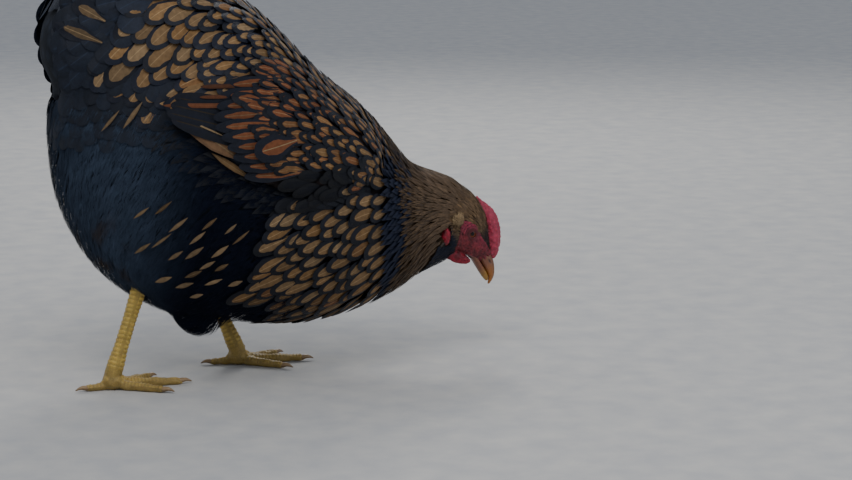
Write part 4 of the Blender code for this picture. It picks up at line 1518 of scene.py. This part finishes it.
def make_claws(material):
    """Eight horn claws, darker near the ground."""
    for name in sorted(frame["nodes"]):
        if not name.startswith("claw"):
            continue
        mesh = fused("nail_" + name[5:], node_meshes([name]), *CLAW_MELT)
        points, _ = arrays(mesh)
        height = smooth(hen_points(points)[:, 2], 0, 6)[:, None]
        painted(mesh, linear(96, 74, 50) * (1 - height) + linear(150, 122, 84) * height)
        put_in(mesh, material, name)


# ---------------------------------------------------------------- floor, lights and camera


def make_floor():
    """A wide, flat, pale floor."""
    form = bmesh.new()
    bmesh.ops.create_grid(form, x_segments=8, y_segments=8, size=40)
    mesh = mesh_from(form, "floor")
    shader = Shader("floor", Roughness=0.8, Specular_IOR_Level=0.15)
    grain = shader.noise(shader.position(), 30.0, 6.0)
    low, high = linear(204, 202, 197), linear(214, 212, 207)
    shades = shader.node("MapRange", {"Value": grain, "From Min": 0.3, "From Max": 0.7}).outputs[0]
    mix = shader.node("Mix", data_type="RGBA")
    shader.put(shades, mix.inputs["Factor"])
    mix.inputs["A"].default_value = (*low, 1)
    shader.colour(mix.outputs["Result"])
    mesh.materials.append(shader.material)
    floor = linked("floor", mesh)


def make_light(name, place, aim, size, power, colour):
    lamp = bpy.data.lights.new(name, "AREA")
    lamp.shape = "DISK"
    lamp.size = size
    lamp.energy = power
    lamp.color = colour
    light = linked(name, lamp)
    light.location = place
    light.rotation_euler = (Vector(aim) - Vector(place)).to_track_quat("-Z", "Y").to_euler()


def make_lights():
    """A big soft key above, a cool fill from the camera's side and a rim from behind."""
    aim = (0, 0, 0.2)
    make_light("key", (-0.6, -1.6, 2.2), aim, 1.6, 26, (1.0, 0.97, 0.93))
    make_light("fill", (1.9, -1.5, 0.9), aim, 1.4, 9, (0.86, 0.92, 1.0))
    make_light("rim", (0.8, 1.9, 1.7), aim, 1.0, 20, (1.0, 0.98, 0.94))
    sky = bpy.data.worlds.new("studio")
    sky.use_nodes = True
    sky.node_tree.nodes["Background"].inputs[0].default_value = (0.82, 0.88, 1.0, 1)
    sky.node_tree.nodes["Background"].inputs[1].default_value = 0.5
    bpy.context.scene.world = sky


AZIMUTH, ELEVATION = math.radians(-18), math.radians(10)
LENS, SENSOR = 100.0, 36.0
# Where the point between the feet lies as the camera sees it, in metres from the middle of the view.
FEET_RIGHT, FEET_UP, FEET_AWAY = -0.236534, -0.130767, 2.2756


def make_camera():
    """The camera, a little behind the hen's right side and above it."""
    a, e = AZIMUTH, ELEVATION
    forward = Vector((-math.sin(a) * math.cos(e), math.cos(a) * math.cos(e), -math.sin(e)))
    right = Vector((math.cos(a), math.sin(a), 0))
    up = right.cross(forward)
    place = Vector(ORIGIN) - forward * FEET_AWAY - right * FEET_RIGHT - up * FEET_UP
    data = bpy.data.cameras.new("camera")
    data.lens, data.sensor_width = LENS, SENSOR
    camera = linked("camera", data)
    camera.matrix_world = Matrix.Translation(place) @ Matrix((right, up, -forward)).transposed().to_4x4()
    bpy.context.scene.camera = camera


# ---------------------------------------------------------------- the scene


def make_coat(owners, face):
    rng = np.random.default_rng(SEED)
    body = BODY_NODES[:-2] + ("head",)
    hull = Surface(fused("hull", node_meshes(BODY_NODES + ("head",)), *HULL_MELT))
    bare_hull = Surface(fused("bare_hull", node_meshes(body), *HULL_MELT))
    head_hull = Surface(fused("head_hull", node_meshes(("head", "neck")), *HEAD_MELT))
    plumage, down = plumage_material(), down_material()
    plan = Plan(hull, owners, rng, 90000)
    zone = zones(plan)
    coats = [
        lay_upper(plan, zone, plumage, rng),
        lay_band(plan, zone, plumage, rng),
        lay_tail(plan, plumage, rng),
        lay_under_wings(bare_hull, owners, plumage, rng),
        lay_head(head_hull, Owners(BODY_NODES + FACE_NODES), plumage, rng),
        lay_ear_tufts(hull, down, rng),
        lay_face_bristles(face, down, rng),
    ]
    for side in SIDES:
        coats.append(lay_breast(plan, zone, plumage, rng, side))
        coats.append(lay_wing(plan, plumage, rng, side))
        coats.append(lay_hackle(plan, plumage, rng, side))
        coats += lay_fluff(plan, zone, down, rng, side)
        coats.append(lay_thigh(hull, plumage, rng, side))
    for coat in coats:
        coat.made()


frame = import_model()
ORIGIN = find_origin()
node_owners = Owners(BODY_NODES + ("head",))
make_camera()
face_mesh = face_skin()
make_coat(node_owners, Surface(face_mesh))
make_skin(node_owners, face_mesh, (body_skin_material(), red_skin_material(), scale_material()))
for eye_side in SIDES:
    make_eye(eye_side, bpy.data.materials.get("eyeball") or eye_material())
make_beak(horn_material("bill_horn", 0.38))
make_claws(horn_material("claw_horn", 0.45))
make_floor()
make_lights()
